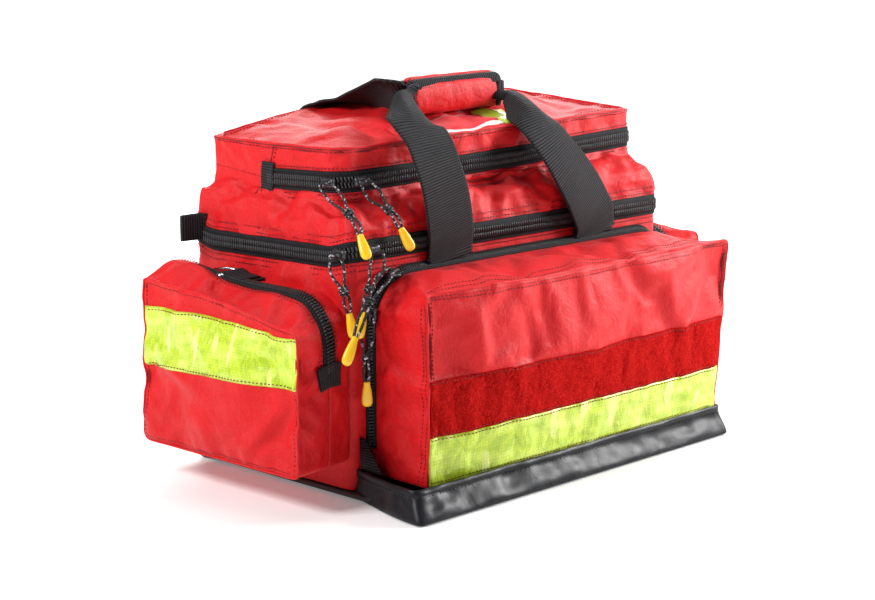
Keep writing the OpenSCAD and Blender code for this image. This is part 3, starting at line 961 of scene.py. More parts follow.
LID_PLEATS = (
    ((-44, 0, 249), (56, 0, 246), -2.6, 2.2), ((-46, 0, 244), (70, 0, 241), 2.4, 2.6),
    ((-44, 0, 239), (78, 0, 235), -3, 2.4), ((-50, 0, 233), (50, 0, 229), 1.8, 4),
    ((-168, 0, 226), (-122, 0, 236), -2.8, 3.4), ((-160, 0, 219), (-116, 0, 228), 2, 4),
    ((118, 0, 238), (176, 0, 231), -2.2, 3), ((112, 0, 229), (170, 0, 224), 1.6, 4),
)


def lid_pleats(p, par):
    """Sharp pleats below the upper zip and beside the near strap, pressed in after the cloth has settled."""
    u, v, w = par
    fade = smooth((w - 0.10) / 0.1) * smooth((0.88 - w) / 0.08)
    q = Vector((p.x, 0, p.z))
    h = 0.45 * lid_folds(p, par)
    if v < 0.2:
        between = smooth((u - 0.26) / 0.06) * smooth((0.84 - u) / 0.08)
        h += between * table([(0.55, 0), (0.59, 1.4), (0.619, -2.2), (0.667, 1.8), (0.714, -2.4),
                              (0.762, 1.2), (0.8, 0)], w)
        h += folds(q, LID_PLEATS) * fade
    return h


lid.push(lid_pleats)
padded_piece(lid, "lid_fabric", "lid", ["lid_shell", "upper_walls"], 3.6)

floor = Shell((40, 20, 2), lambda u, v, w: (*plan(u, v, (-END + 13, FRONT + 13), (END - 13, BACK - 13), 8),
                                           220.5 + 4.0 * w - (1 - w) * 1.5 * bump(u) * bump(v)))
floor.push(lambda p, par: 0.5 * ripple(p, 28, 4.0))
floor.make("lid_lining", "lid", lining, "red_polyester", thick=0)


# ---------------------------------------------------------------- top flap
def top_seam(u, v):
    """Height of the seam round the top panel."""
    return (281.5 + 2.0 * (1 - u) * (1 - v) - 3.0 * (1 - u) * v + 4.5 * u - 5.5 * u * (1 - v)
            + 10.5 * v * v * math.sin(math.pi * clamp(u / 0.78)))


def top_place(u, v, w):
    out = 1.6 * w
    a = (-UPPER_END + SKIN - out * 0.6 - 2.5 * v, UPPER_FRONT + SKIN - out * 0.3)
    b = (UPPER_END + 3.0 * (1 - v) + out * 0.6, UPPER_BACK - SKIN + out * 0.3)
    x, y = plan(u, v, a, b, 19)
    low = upper_zip(x, y) + (GAP if y < UPPER_ZIP_END else 0.05)
    z = table([(0, low), (0.32, low + 8.6), (1, top_seam(u, v))], w)
    if w == 1:
        z += 6.5 * (1 - abs(2 * u - 1) ** 5) * (1 - abs(2 * v - 1) ** 3)
    return x, y, z


TOP_CREASES = (
    ((-170, -20, 284), (-110, 30, 288), 2, 12), ((-60, 100, 287), (40, 112, 287), 2, 10),
    ((-140, -30, 284), (-104, -10, 288), -2.6, 7), ((-120, 40, 288), (-90, -4, 288), -2, 9),
    ((90, -28, 285), (160, 20, 288), -2.2, 12), ((100, 80, 288), (150, 20, 287), 2, 12),
)


def top_folds(p, par):
    u, v, w = par
    if w < 1:
        return 0.7 * ripple(p, 20, 6.0) * smooth((w - 0.3) / 0.2)
    rim_fade = clamp(min(u, v, 1 - u, 1 - v) * 8)
    h = 0.9 * ripple(p, 55, 8.0) + 0.5 * ripple(p, 18, 3.0)
    h += folds(p, TOP_CREASES)
    return rim_fade * h


top = Shell((60, 28, 7), top_place, ("z-",))
top.push(top_folds)


def top_pins(p, par):
    u, v, w = par
    if w < 0.40:
        return 1.0
    return 0.9 if 0.99 > w > 0.86 or (w == 1 and (u in (0, 1) or v in (0, 1))) else 0.0


top.puff(top_pins, pressure=1.2, grow=0.035, cap=5.0, bending=0.15)
top.push(lambda p, par: 0.6 * top_folds(p, par))
padded_piece(top, "top_flap_fabric", "top_flap", ["top_panel"], 3.4)


# ---------------------------------------------------------------- front pocket
def pocket_place(u, v, w):
    """The front pocket: u to the right, v from its face to the bag, w up."""
    left = -167 + 0.5 * v + 1.5 * (1 - v) * math.sin(math.pi * w)
    right = lerp(186 + 16 * w, 180, v ** 0.8)
    high = lerp(177.5 - 4.0 * u, 181.5 - 6.5 * u, v)
    low = 23.0 - 4.0 * (1 - smooth(u / 0.3))
    r = lerp(7, 38 if u < 0.5 else 20, smooth(v * 1.15))
    x, z = rounded(lerp(left, right, u), lerp(low, high, w), (left, -FAR), (right, high), r)
    y = lerp(POCKET_FRONT + 1.2 + 9.5 * (1 - smooth(u / 0.27)), FRONT - 0.4, v)
    if v == 0:
        y -= 3.6 * bump(u) * bump(w * 0.9 + 0.05) + 2.5 * math.sin(math.pi * u) * smooth(w * 1.3)
    crown = math.sin(math.pi * v) * (0 < v < 1)
    if w == 1:
        z += 2.4 * crown * bump(u)
    if u == 0:
        x -= 2.5 * crown * bump(w)
    if u == 1:
        x += 3.5 * crown * bump(w)
    return x, y, z


POCKET_CREASES = (
    ((-176, -134, 168), (-150, -136, 150), -3, 7), ((-168, -132, 177), (-150, -110, 180), -2.6, 7),
    ((-176, -120, 164), (-178, -90, 150), 2.4, 8), ((60, -136, 150), (150, -136, 168), 2.2, 14),
    ((150, -136, 120), (190, -134, 150), -2, 12), ((-177, -110, 60), (-177, -80, 80), 2, 10),
    ((20, -100, 178), (90, -80, 177), -1.6, 10), ((-150, -136, 166), (-118, -137, 152), 3.6, 6),
    ((-120, -137, 154), (-112, -137, 112), 5, 9), ((-148, -136, 150), (-144, -136, 108), -4.5, 15),
    ((-70, -137, 150), (-56, -137, 120), -1.6, 8), ((0, -137, 160), (10, -137, 128), 1.4, 9),
    ((60, -137, 166), (84, -137, 140), -1.4, 8), ((104, -137, 160), (120, -137, 118), 1.6, 10),
    ((-30, -137, 108), (60, -137, 112), 1, 8),
)


def pocket_folds(p, par):
    u, v, w = par
    if v > 0.84 or w < 0.03:
        return 0.0
    h = 0.8 * ripple(p, 60, 12.0) + 0.4 * ripple(p, 20, 2.0)
    h += folds(p, POCKET_CREASES)
    return h * (0.5 if v == 0 and w < 0.55 else 1.0)


pocket = Shell((64, 14, 28), pocket_place, ("y+", "z-"))
pocket.push(pocket_folds)


def pocket_pins(p, par):
    u, v, w = par
    if v > 0.84 or w < 0.04:
        return 1.0
    if v == 0 and (u in (0, 1) or w == 1):
        return 0.85
    if v == 0 and w < 0.56:
        return 0.25
    return 0.0


pocket.puff(pocket_pins, pressure=2.2, grow=0.035, cap=7.0, bending=0.15)
pocket.push(lambda p, par: 0.45 * pocket_folds(p, par) * smooth((1 - par[1]) / 0.3))
padded_piece(pocket, "front_pocket_fabric", "front_pocket", ["front_pocket_shell"], 3.2)

# the welt along the face's seam, and its two rows of stitches
seam = Part()
corners = [(0, 0), (0, 1), (1, 1), (1, 0)]
edge = [x for run in zip(corners, corners[1:]) for x in pocket.line("y-", run, 2.5)]
seam.tube([p + Vector((0, 0.4, 0)) for p, n in edge], 1.15, 6)
seam.make("front_pocket_welt", "front_pocket", red, "red_polyester")
rows = [pocket.line("y-", [(e, 0.56), (e, 1 - e * 2), (1 - e, 1 - e * 2), (1 - e, 0.56)])
        for e in (0.012, 0.022)]
for v in (0.08, 0.16):
    rows += [pocket.line("z+", [(0.03, v), (0.97, v)]), pocket.line("x-", [(v, 0.03), (v, 0.95)]),
             pocket.line("x+", [(v, 0.03), (v, 0.95)])]
sew("front_pocket_stitches", "front_pocket", rows)

# the loop strip's edges at 62 and 107 mm, as places up the pocket's face
LOOP_LOW, LOOP_HIGH = (62 - 23) / 154.0, (107 - 23) / 154.0
patch(pocket, "y-", (0.006, 0.994), (LOOP_LOW, LOOP_HIGH), (340, 44), 1.5, loop_fabric, "front_loop_pile",
      "front_pocket", "loop_fabric", ["front_loop_strip"],
      lambda p, s, t: 0.55 * noise.noise(p / 1.7) + 0.45 * noise.noise(p / 5.0) + 0.3 * noise.noise(p / 14.0))
patch(pocket, "y-", (0.004, 0.996), (0.004, LOOP_LOW), (180, 22), 1.3, hivis, "front_tape_film", "front_pocket",
      "reflective_tape", ["front_reflective_tape"],
      lambda p, s, t: 0.7 * noise.noise(Vector((p.x, p.y, p.z * 0.5)) / 16) + 0.35 * noise.noise(p / 6))
sew("front_strip_stitches", "front_pocket",
    [raised(pocket.line("y-", [(0.01, t), (0.99, t)]), 1.5)
     for t in (LOOP_LOW + 0.012, LOOP_HIGH - 0.012, LOOP_LOW - 0.012, 0.025)])


# ---------------------------------------------------------------- end pockets
SPLIT = 0.595


def end_place(side, u, v, w):
    """An end pocket: u from its face to the bag, v front to back, w up. The left one sags at its front."""
    sag = 1.0 if side < 0 else 0.35
    y0 = lerp(lerp(-56, -64, sag), -55, u)
    y1 = lerp(126, 124, u)
    face_top = 167.5 - sag * 15 * (1 - smooth(v * 1.5)) - 2 * math.sin(math.pi * v)
    tent = 12 * smooth((v - 0.5) / 0.4) * clamp(min(u / 0.42, (0.68 - u) / 0.24))
    high = lerp(face_top, 168.5, smooth(u / 0.62)) + sag * tent
    low = 30.0 + sag * 1.5 * (1 - v)
    r = 5.0
    if w > 0.5:
        r = lerp(6, 34 if v < 0.5 else 15, smooth(u * 1.6)) + 7 * sag * (1 - smooth(v * 4)) * (1 - u)
    y, z = rounded(lerp(y0, y1, v), lerp(low, high, w), (y0, low), (y1, high), r)
    x = lerp(-251, -187.6, u)
    if u == 0:
        x -= 4.0 * bump(v) * bump(w)
    crown = math.sin(math.pi * clamp(u)) * 0.9
    if 0 < u < 1:
        if w == 1:
            z += 1.6 * crown * bump(v)
        if w == 0:
            z -= 0.6 * crown
        if v == 0:
            y -= 1.2 * crown * bump(w)
        if v == 1:
            y += 1.2 * crown * bump(w)
    return -side * x, y, z


LEFT_POCKET_CREASES = (
    ((-252, -60, 150), (-240, -20, 160), -3, 9), ((-250, -30, 160), (-225, -10, 167), 2.4, 9),
    ((-246, 30, 166), (-220, 60, 168), -2.4, 10), ((-240, -62, 150), (-226, -58, 120), 2.2, 8),
    ((-252, 10, 60), (-254, 90, 48), 2, 16), ((-244, -60, 60), (-205, -57, 84), 2.2, 10),
    ((-232, 90, 168), (-244, 110, 166), 2.2, 9), ((-252, -50, 96), (-254, 0, 88), -1.4, 9),
    ((-254, -47, 92), (-254, -5, 40), 3, 6), ((-254, -52, 88), (-254, -36, 40), -2.8, 6),
    ((-254, 60, 78), (-254, 0, 98), -2, 7), ((-254, 104, 104), (-254, 30, 82), 2, 7),
    ((-254, 96, 152), (-254, 10, 146), -1.8, 7), ((-252, -60, 148), (-254, -20, 128), 2.4, 6),
)


def end_folds(side, p):
    h = 0.9 * ripple(p, 34, 15.0 + side) + 0.6 * ripple(p, 13, 4.0 - side)
    return h + folds(p, LEFT_POCKET_CREASES) if side < 0 else h


def end_pocket(side):
    """The pocket on the left (-1) or right (1) end: a cover that opens, and a gusset that stays on the bag."""
    tag = "left" if side < 0 else "right"
    moving = "side_pocket_" + tag
    mirror = side > 0
    near_x, far_x = ("x-", "x+") if not mirror else ("x+", "x-")

    def outward(a):
        """How far a grid place is from the face; the right pocket's grid runs the other way."""
        return 1 - a if mirror else a

    def grid(u0, u1):
        return lambda a, v, w: end_place(side, lerp(u0, u1, outward(a)), v, w)

    def fading(par):
        """Folds die out towards the piece's inner edge."""
        return smooth((1 - outward(par[0])) / 0.3)

    cover = Shell((9, 32, 24), grid(0.0, SPLIT - 0.005), ("z-", far_x))
    base = Shell((7, 32, 24), grid(SPLIT + 0.005, 1.0), (near_x, far_x))
    cover.push(lambda p, par: end_folds(side, p) * fading(par) * (1.0 if par[2] > 0.03 else 0.4))
    base.push(lambda p, par: end_folds(side, p) * smooth(outward(par[0]) / 0.35) * fading(par))

    def cover_pins(p, par):
        a = outward(par[0])
        if a > 0.74 or par[2] < 0.04:
            return 1.0
        on_edge = a == 0 and (par[1] in (0, 1) or par[2] == 1)
        return 0.8 if on_edge else 0.0

    def base_pins(p, par):
        a = outward(par[0])
        return 1.0 if a < 0.36 or a > 0.93 else 0.0

    cover.puff(cover_pins, pressure=2.0, grow=0.05, cap=7.0, bending=0.12)
    cover.push(lambda p, par: 0.7 * end_folds(side, p) * fading(par) * clamp(par[2] * 8))
    base.puff(base_pins, pressure=1.5, grow=0.03, cap=3.5)
    padded_piece(cover, "end_pocket_cover_" + tag, moving, [moving + "_cover"], 2.6)
    padded_piece(base, "end_pocket_gusset_" + tag, "bag", [moving + "_base"], 2.6)

    def floor_place(a, v, w):
        spot = end_place(side, lerp(0.05, SPLIT + 0.01, outward(a)), lerp(0.03, 0.97, v), 0)
        return Vector(spot) + Vector((0, 0, 0.4 + 1.8 * w))
    Shell((8, 24, 1), floor_place).make("end_pocket_floor_" + tag, "bag", red, "red_polyester", thick=0)

    # zip: up the front gusset, along the top and down the back gusset
    end_cover = 0.0 if mirror else 1.0
    end_base = 1.0 if mirror else 0.0
    inward = 0.2 if mirror else -0.2
    low_near, low_far = 0.60, 0.42
    for shell, at, push, part_name, rides, stands in (
            (cover, end_cover, inward, "end_zip_cover_" + tag, moving, "side_zip_" + tag),
            (base, end_base, -inward, "end_zip_gusset_" + tag, "bag", None)):
        line = rim(shell, [("y-", (at, low_near), (at, 1.0), (push, 0)),
                           ("z+", (at, 0.0), (at, 1.0), (push, 0)),
                           ("y+", (at, 1.0), (at, low_far), (push, 0))], 2.5)
        zip_half(part_name, line, rides, [stands] if stands else [], width=7.6, lift=0.8)
        offsets = (9.6, 13.0) if shell is cover else (9.6,)
        sew_rows(part_name.replace("zip", "stitches"), rides, line, offsets, 0.45)
    # face seam, its stitches and the reflective tape
    face = near_x
    seam = Part()
    corners = [(0, 0), (0, 1), (1, 1), (1, 0), (0, 0)]
    edge = [x for run in zip(corners, corners[1:]) for x in cover.line(face, run, 2.5)]
    seam.tube([p for p, n in edge][:-1], 1.05, 6, caps=False, loop=True)
    seam.make("end_pocket_welt_" + tag, moving, red, "red_polyester")
    sew("end_pocket_stitches_" + tag, moving,
        [cover.line(face, [(0.025, 0.03), (0.025, 0.965), (0.975, 0.965), (0.975, 0.03), (0.025, 0.03)])])
    low, high = 0.463, 0.822
    slope = (0.13, 0.115) if side < 0 else (0.04, 0.04)

    def crumple(p, s, t):
        return (0.8 * noise.noise(Vector((p.y, p.z * 0.6, 3.0)) / 13) + 0.4 * noise.noise(p / 5)
                + 1.3 * noise.noise(p / 7.0) * smooth((0.16 - s) / 0.16))
    patch(cover, face, (0.008, 0.992), (low, high), (96, 24), 1.3, hivis, "end_tape_" + tag, moving,
          "reflective_tape", ["side_reflective_" + tag], crumple, slope)
    sew("end_tape_stitches_" + tag, moving,
        [raised(cover.line(face, [(0.015, t + more), (0.985, t)]), 1.4)
         for t, more in ((low + 0.016, slope[0]), (high - 0.016, slope[1]))])


end_pocket(-1)
end_pocket(1)


# ---------------------------------------------------------------- zips of the bag
def round_front(shell, t, stop_left=0.985, stop_right=0.96, into=-0.04):
    return rim(shell, [("x-", (stop_left, t), (0, t), (0, into)), ("y-", (0, t), (1, t), (0, into)),
                       ("x+", (0, t), (stop_right, t), (0, into))])


main_low = round_front(body, 1.0)
main_high = round_front(lid, 0.0, into=0.1)
upper_low = round_front(lid, 1.0, 0.535, 0.58, -0.1)
upper_high = round_front(top, 0.0, 0.535, 0.58, 0.25)
zip_half("main_zip_lower_half", main_low, "bag", ["main_zip_lower"])
zip_half("main_zip_upper_half", main_high, "lid", ["main_zip_upper"])
zip_half("upper_zip_lower_half", upper_low, "lid", ["upper_zip_lower"])
zip_half("upper_zip_upper_half", upper_high, "top_flap", ["upper_zip_upper"])
sew_rows("stitches_main_low", "bag", main_low, (11.0, 15.5), 0.6)
sew_rows("stitches_main_high", "lid", main_high, (11.0, 15.5), 0.6)
sew_rows("stitches_upper_low", "lid", upper_low, (10.6, 14.6), 0.6)
sew_rows("stitches_upper_high", "top_flap", upper_high, (10.6,), 0.6)

# front pocket's zip, in its gusset's back edge and on the bag
pocket_line = rim(pocket, [("x-", (1, 0.14), (1, 1), (-0.1, 0)), ("z+", (0, 1), (1, 1), (0, -0.1)),
                           ("x+", (1, 1), (1, 0.14), (-0.1, 0))], 2.5)
zip_half("front_pocket_zip_moving", pocket_line, "front_pocket", ["front_pocket_zip_front"], width=5.4)
# the bag's own half of that zip lies flat on the front panel, on the same line
rear_path = []
for (p, n, d) in pocket_line:
    out = Vector((n.x, 0, n.z)).normalized()
    rear_path.append((Vector((p.x, FRONT + 0.6, p.z)) + out * 0.3, Vector((0, -1, 0)), out))
zip_half("front_pocket_zip_fixed", rear_path, "bag", ["front_pocket_zip_rear"], width=5.4, lift=0.7)


# ---------------------------------------------------------------- webbing
def strap(part, stops, across, width, thick, crown, step=3.0):
    part.sweep(strip_path(stops, across, step), strip_section(width, thick, crown))


STRAP_X = 92.0      # how far either side of the middle the anchors stand
STRAP_W, STRAP_THICK = 50.0, 2.1


def folding_strap(part, stops):
    """Webbing along stops of (x, y, z, across x, y, z, fold): its edges turn back by the fold, in degrees."""
    cells, thick = 12, STRAP_THICK
    line = curve_points([Vector(q) for q in stops], 3.0)
    spots = [Vector(q[:3]) for q in line]
    verts, uvs, run = [], [], 0.0
    for i, (q, p) in enumerate(zip(line, spots)):
        run += (p - spots[max(0, i - 1)]).length
        way = way_at(spots, i)
        a = square_to(Vector(q[3:6]), way)
        out = a.cross(way)
        bend = math.radians(q[6])
        # webbing that is folded past 36 degrees is also bunched up
        half, step = [], STRAP_W / 2 / cells * (1 - 0.6 * smooth((q[6] - 36) / 40))
        x = y = 0.0
        for k in range(cells + 1):
            turn = bend * (smooth(k * step / 9) + 0.9 * smooth((k * step - 13) / 8))
            half.append((x, y, turn))
            x, y = x + step * math.cos(turn), y - step * math.sin(turn)
        row = [(-x, y, -t) for x, y, t in half[:0:-1]] + half
        for face in (0.5, -0.5):
            ring = row if face > 0 else row[::-1]
            for k, (x, y, t) in enumerate(ring):
                verts.append(p + a * (x + face * thick * math.sin(t)) + out * (y + face * thick * math.cos(t)))
                s_at = (k if face > 0 else len(row) - 1 - k) * step
                uvs.append((s_at * MM, run * MM))
    part.add(verts, ring_faces(len(line), 2 * (2 * cells + 1)), uvs)


FRONT_STRAPS = (
    [(-77.5, -61.8, 184, 1, 0, 0, 0), (-78.5, -62.4, 192, 1, 0, 0, 0), (-82.5, -67, 208, 1, 0, 0, 0),
     (-88, -69.5, 230, 1, 0, 0, 0), (-92, -68, 250, 1, 0, 0, 0), (-95, -62, 270, 1, 0, 0, 0),
     (-96, -55, 285, 1, 0, 0, 2), (-96, -44, 297, 1, 0, 0, 10), (-89, -30, 306, 1, 0.1, 0, 34),
     (-78, -12, 313, 1, 0.2, 0, 60), (-67, 2, 316, 1, 0.3, 0, 74), (-53, 9, 313, 1, 0.4, 0, 80)],
    [(104, -61.8, 179, 1, 0.04, 0, 0), (101, -62.6, 188, 1, 0.06, 0, 0), (94, -67, 201, 1, 0.12, 0, 2),
     (77.5, -69.5, 225, 1, 0.12, 0, 4), (61, -66.5, 250, 1, 0.12, 0, 6), (51.5, -58, 270, 1, 0.1, 0, 8),
     (48, -49, 283, 1, 0.05, 0, 14), (48, -38, 293, 1, 0, 0, 30), (52, -20, 301, 1, -0.1, 0, 54),
     (56.5, -5, 304, 1, -0.2, 0, 64), (53, 3, 304, 1, -0.5, 0, 70), (47, 9, 304, 1, -0.8, 0, 74)])
REAR_STRAPS = (
    [(-84, 132.2, 190.4, -1, 0, 0, 0), (-79, 133.2, 214, -1, 0, 0, 0), (-69, 132.6, 240, -1, 0, 0, 0),
     (-56, 130, 262, -1, 0, 0, 0), (-45, 126, 284, -1, 0, 0, 0), (-40, 111, 293.5, -1, 0, 0.1, 0),
     (-40, 86, 295.5, -1, 0, 0.3, 4), (-44, 62, 298, -0.8, 0, 0.7, 12), (-50, 38, 302, -0.3, 0, 1, 26),
     (-57, 22, 308, -0.1, 0, 1, 38), (-54, 14, 308, -0.1, 0, 1, 44)],
    [(84, 132.2, 190.4, 1, 0, 0, 0), (79, 133.2, 214, 1, 0, 0, 0), (71, 132.6, 240, 1, 0, 0, 0),
     (62, 130, 262, 1, 0, 0, 0), (55, 126, 284, 1, 0, 0, 0), (50, 111, 294, 1, 0, 0.08, 0),
     (49, 84, 296, 1, 0, 0.2, 10), (50, 58, 296, 0.8, 0, 0.3, 30), (53, 36, 292, 0.5, 0, 1, 50),
     (56, 22, 295, 0.3, 0, 1, 60), (53, 14, 296, 0.2, 0, 1, 66)])


def handle(tag, sides, near):
    """Both straps of a handle, and the webbing that joins them inside the grip at y near."""
    part = Part()
    for stops in sides:
        folding_strap(part, stops)
    inner = [(-60, near, 311), (-30, near, 309), (0, near, 308), (30, near, 306), (60, near, 304)]
    strap(part, inner, (0, 0.15, 1), 18, 3.4, 0.3)
    part.make(tag + "_handle_straps", tag + "_handle", webbing, "black_webbing", [tag + "_handle_webbing"])


handle("front", FRONT_STRAPS, 8.5)
handle("rear", REAR_STRAPS, 17.5)

ends = Part()
for s in (-1, 1):
    front_end = [(-80 if s < 0 else 100, -61.4, z) for z in (181.5, 184, 187, 190.4)]
    strap(ends, front_end, (1, 0, 0), STRAP_W, 2.0, 0.2)
    back_end = []
    for z in (118, 126, 136, 146, 156, 166, 176, 184, 190.4):
        x = s * lerp(92, 84, (z - 118) / 72)
        spot, out = body.at("y+", clamp((x + END) / (2 * END)), clamp((z - 7) / (main_zip(x, BACK) - 7.3)))
        back_end.append((x, max(131.4, spot.y + 2.2), z))
    strap(ends, back_end, (-1, 0, 0), STRAP_W, 2.0, 0.2)
    # a sewn box with a cross in it
    for corners in ([(-20, 124), (20, 124), (20, 158), (-20, 158), (-20, 124)], [(-20, 124), (20, 158)],
                    [(20, 124), (-20, 158)]):
        box = [(Vector((s * (STRAP_X - 2) + x, back_end[3][1] + 1.6, z)), Vector((0, 1, 0)))
               for x, z in corners]
        stitch_line(ends, box, 3.2, 2.3, 0.32, 0.0, 1)
ends.make("handle_anchor_webbing", "bag", [webbing, black_thread], "black_webbing", ["handle_strap_ends"])


# ---------------------------------------------------------------- padded grip
GRIP_L, GRIP_LOW, GRIP_HIGH, GRIP_Y, GRIP_TILT = 55.0, 292.0, 320.5, 13.0, -0.02


def grip_half(tag, s):
    """One half of the padded wrap, bound in black webbing along its ends and, at the front, its top."""
    high = GRIP_HIGH + (3.0 if s > 0 else 0.0)

    def place(u, v, w):
        x, z = rounded(lerp(-GRIP_L, GRIP_L, u), lerp(GRIP_LOW, high, w), (-GRIP_L, GRIP_LOW), (GRIP_L, high),
                       8.0 if w > 0.5 else 3.0)
        full = bump(u) ** 0.5 * bump(w) ** 0.7
        depth = lerp(0.4, lerp(4.6, 10.8, full), v if s > 0 else 1 - v)
        return x, GRIP_Y + s * depth, z + GRIP_TILT * x
    shell = Shell((34, 3, 12), place)
    shell.push(lambda p, par: 0.5 * ripple(p, 14, 6.0))
    pad = shell.make(tag + "_grip_pad", tag + "_handle", red, "red_polyester", [tag + "_grip_half"], thick=0)
    bind = Part()
    r = 7.0
    outline = [(GRIP_L, GRIP_LOW + 1), (GRIP_L, lerp(GRIP_LOW, high, 0.5))]
    for x, first in ((GRIP_L - r, 0), (-GRIP_L + r, 90)):
        outline += [(x + p, high - r + q) for p, q in arc(r, first, first + 91, 18)]
    outline += [(-GRIP_L, lerp(GRIP_LOW, high, 0.5)), (-GRIP_L, GRIP_LOW + 1)]
    mid = Vector((0, GRIP_Y, GRIP_LOW))
    for run in ([outline] if s < 0 else [outline[:5], outline[-5:]]):
        line = evenly(curve_points([(x, GRIP_Y + s * 4.2, z + GRIP_TILT * x) for x, z in run], 1.5), 2.5)
        path = []
        for i, p in enumerate(line):
            n = Vector((0, s, 0))
            a = way_at(line, i).cross(n).normalized()
            path.append((p, a if a.dot(p - mid) > 0 else -a, n))
        bind.sweep(path, [(1.2, -3.6), (1.8, -1.0), (1.2, 1.4), (-1.5, 3.0), (-6.6, 4.1), (-7.2, 3.2),
                          (-1.2, 0.6), (-0.6, -3.4)])
        stitch_line(bind, [(p - a * 5.4 + n * 4.1, n) for p, a, n in path], 3.2, 2.3, 0.3, 0.1, 1)
    bind.make(tag + "_grip_binding", tag + "_handle", [webbing, black_thread], "black_webbing")


grip_half("front", -1)
grip_half("rear", 1)


# ---------------------------------------------------------------- tabs of folded webbing
tabs = Part()
for s in (-1, 1):
    # folded end of the main zip, standing out behind the bag's end
    z = main_zip(s * END, 120) + 6
    stops = [(s * (END + far), y, z)
             for far, y in ((-1, 115), (10, 118), (20.5, 120.4), (21, 122.2), (10, 121.4), (-1, 120))]
    strap(tabs, stops, (0, 0, 1), 22, 1.7, 0.2, step=1.2)
    # end of the end pocket's zip, on its front gusset
    u = SPLIT
    pts = []
    for du in (-0.22, -0.1, 0, 0.1, 0.22):
        p = Vector(end_place(s, u + du, 0, 0.57))
        pts.append((p.x, p.y - 1.8, p.z - 4 * du))
    strap(tabs, pts, (0, 0, -s), 20, 2.0, 0.4, step=1.5)
    # folded triangle at the front pocket's zip
    base = Vector((s * 168.5, FRONT - 0.5, 24.5))
    tri = [Vector(p) for p in ((0, 0, 0), (s * 0.5, -25, 0), (s * 0.5, -22, 3), (0, -3, 27), (0, 1, 27))]
    off = Vector((s * 9.0, 0, 0))
    verts = [base + t + off for t in tri] + [base + t + off + Vector((s * 2.4, 0, 0)) for t in tri]
    tabs.add(verts, ring_faces(2, 5), [((v.y - base.y) * MM, (v.z - base.z) * MM) for v in verts])
tabs.make("body_zip_tabs_webbing", "bag", webbing, "black_webbing", ["body_zip_tabs", "side_zips_rear"])

tabs = Part()
for s in (-1, 1):
    y = 49 if s < 0 else 57
    stops = [(s * (UPPER_END + far), y + back, z)
             for far, back, z in ((1.4, 0, 264), (2.4, 0, 257), (2.2, 0.5, 247), (1.6, 1, 237))]
    strap(tabs, stops, (0, s, 0), 15, 2.0, 0.4, step=1.5)
tabs.make("upper_zip_tabs_webbing", "lid", webbing, "black_webbing", ["upper_zip_tabs"])


# ---------------------------------------------------------------- D-rings and their webbing
RING_X, RING_Y, RING_Z = 206.0, 62.0, 172.9
loops = Part()
for s in (-1, 1):
    x = s * RING_X
    stops = [(x, 38, 170.0), (x, 50, 170.2), (x, 56, 170.4), (x, 60, 170.3)]
    around = [(x, RING_Y + q, RING_Z - p) for p, q in arc(2.9, 0, 200, 25)]
    back = [(x, 58, 174.6), (x, 52, 172.8), (x, 40, 172.0)]
    strap(loops, stops + around + back, (-1, 0, 0), 22, 1.1, 0.0, step=0.8)
    flat = [(s * (END + 2), 45, 170.6), (s * (END + 14), 45, 170.4), (s * (END + 27), 45, 170.2)]
    strap(loops, flat, (0, s, 0), 16, 1.4, 0.2, step=2)
loops.make("d_ring_webbing", "bag", webbing, "black_webbing", ["d_ring_tabs"])

for tag, s in (("left", -1), ("right", 1)):
    ring = Part()
    x, y = s * RING_X, RING_Y
    stops = [(x - 11.5, y), (x, y), (x + 11.5, y), (x + 12.8, y + 1.2)]
    stops += [(x + p, y + 9 + q) for p, q in arc(13, 0, 181, 12)] + [(x - 12.8, y + 1.2)]
    ring.tube(curve_points([(*q, RING_Z) for q in stops], 1.5, True), 1.72, 12, caps=False, loop=True)
    ring.make("d_ring_wire_" + tag, "d_ring_" + tag, ring_steel, "ring_steel", ["d_ring_" + tag])


# ---------------------------------------------------------------- strip under the handles
def top_ribbon(name, x0, x1, y0, y1, mat, lift, replaces=()):
    def grid_place(x, y):
        return clamp((x + UPPER_END) / (2 * UPPER_END)), clamp((y - UPPER_FRONT) / (UPPER_BACK - UPPER_FRONT))
    s0, t0 = grid_place(x0, y0)
    s1, t1 = grid_place(x1, y1)
    cells = (max(6, int((x1 - x0) / 4)), max(3, int((y1 - y0) / 4)))
    patch(top, "z+", (s0, s1), (t0, t1), cells, lift, mat, name, "top_flap", "name_strip", replaces,
          lambda p, s, t: 0.25 * noise.noise(p / 9))


top_ribbon("top_strip_field", -84, 36, -23, 6, pink_fabric, 1.5, replaces=["top_strip"])
top_ribbon("top_strip_white", -84, 20, -30, -23.5, white_strip, 1.7)
top_ribbon("top_strip_yellow", 20, 56, -31, 10, hivis, 2.0)


# ---------------------------------------------------------------- seams of the upper compartment and the lid
seams, sewn = Part(), Part()
run = (top.line("z+", [(0, 0.06), (0, 0.94)], 2.5), top.line("z+", [(0.04, 0), (0.96, 0)], 2.5),
       top.line("z+", [(1, 0.06), (1, 0.94)], 2.5), top.line("z+", [(0.04, 1), (0.96, 1)], 2.5))
ring = [p for p, n in run[0][::-1] + run[1] + run[2] + run[3][::-1]]
seams.tube(ring, 1.0, 6, caps=False, loop=True)
# thin dark red tubes just under the welt and down the flap's sides are painted shadow lines of the seams'
# creases
dark = Part()
for side in ("x-", "y-", "x+", "y+"):
    dark.tube([p + n * 0.15 for p, n in top.line(side, [(0, 0.93), (1, 0.93)], 2.5)], 0.55, 6)
    stitch_line(sewn, top.line(side, [(0.01, 0.84), (0.99, 0.84)]), wide=0.45, lift=0.4)
for side in ("x-", "x+"):
    dark.tube([p + n * 0.1 for p, n in top.line(side, [(0.51, 0.95), (0.545, 0.36)], 2.5)], 0.5, 6)
    stitch_line(sewn, top.line(side, [(0.485, 0.93), (0.52, 0.36)]), wide=0.45, lift=0.4)
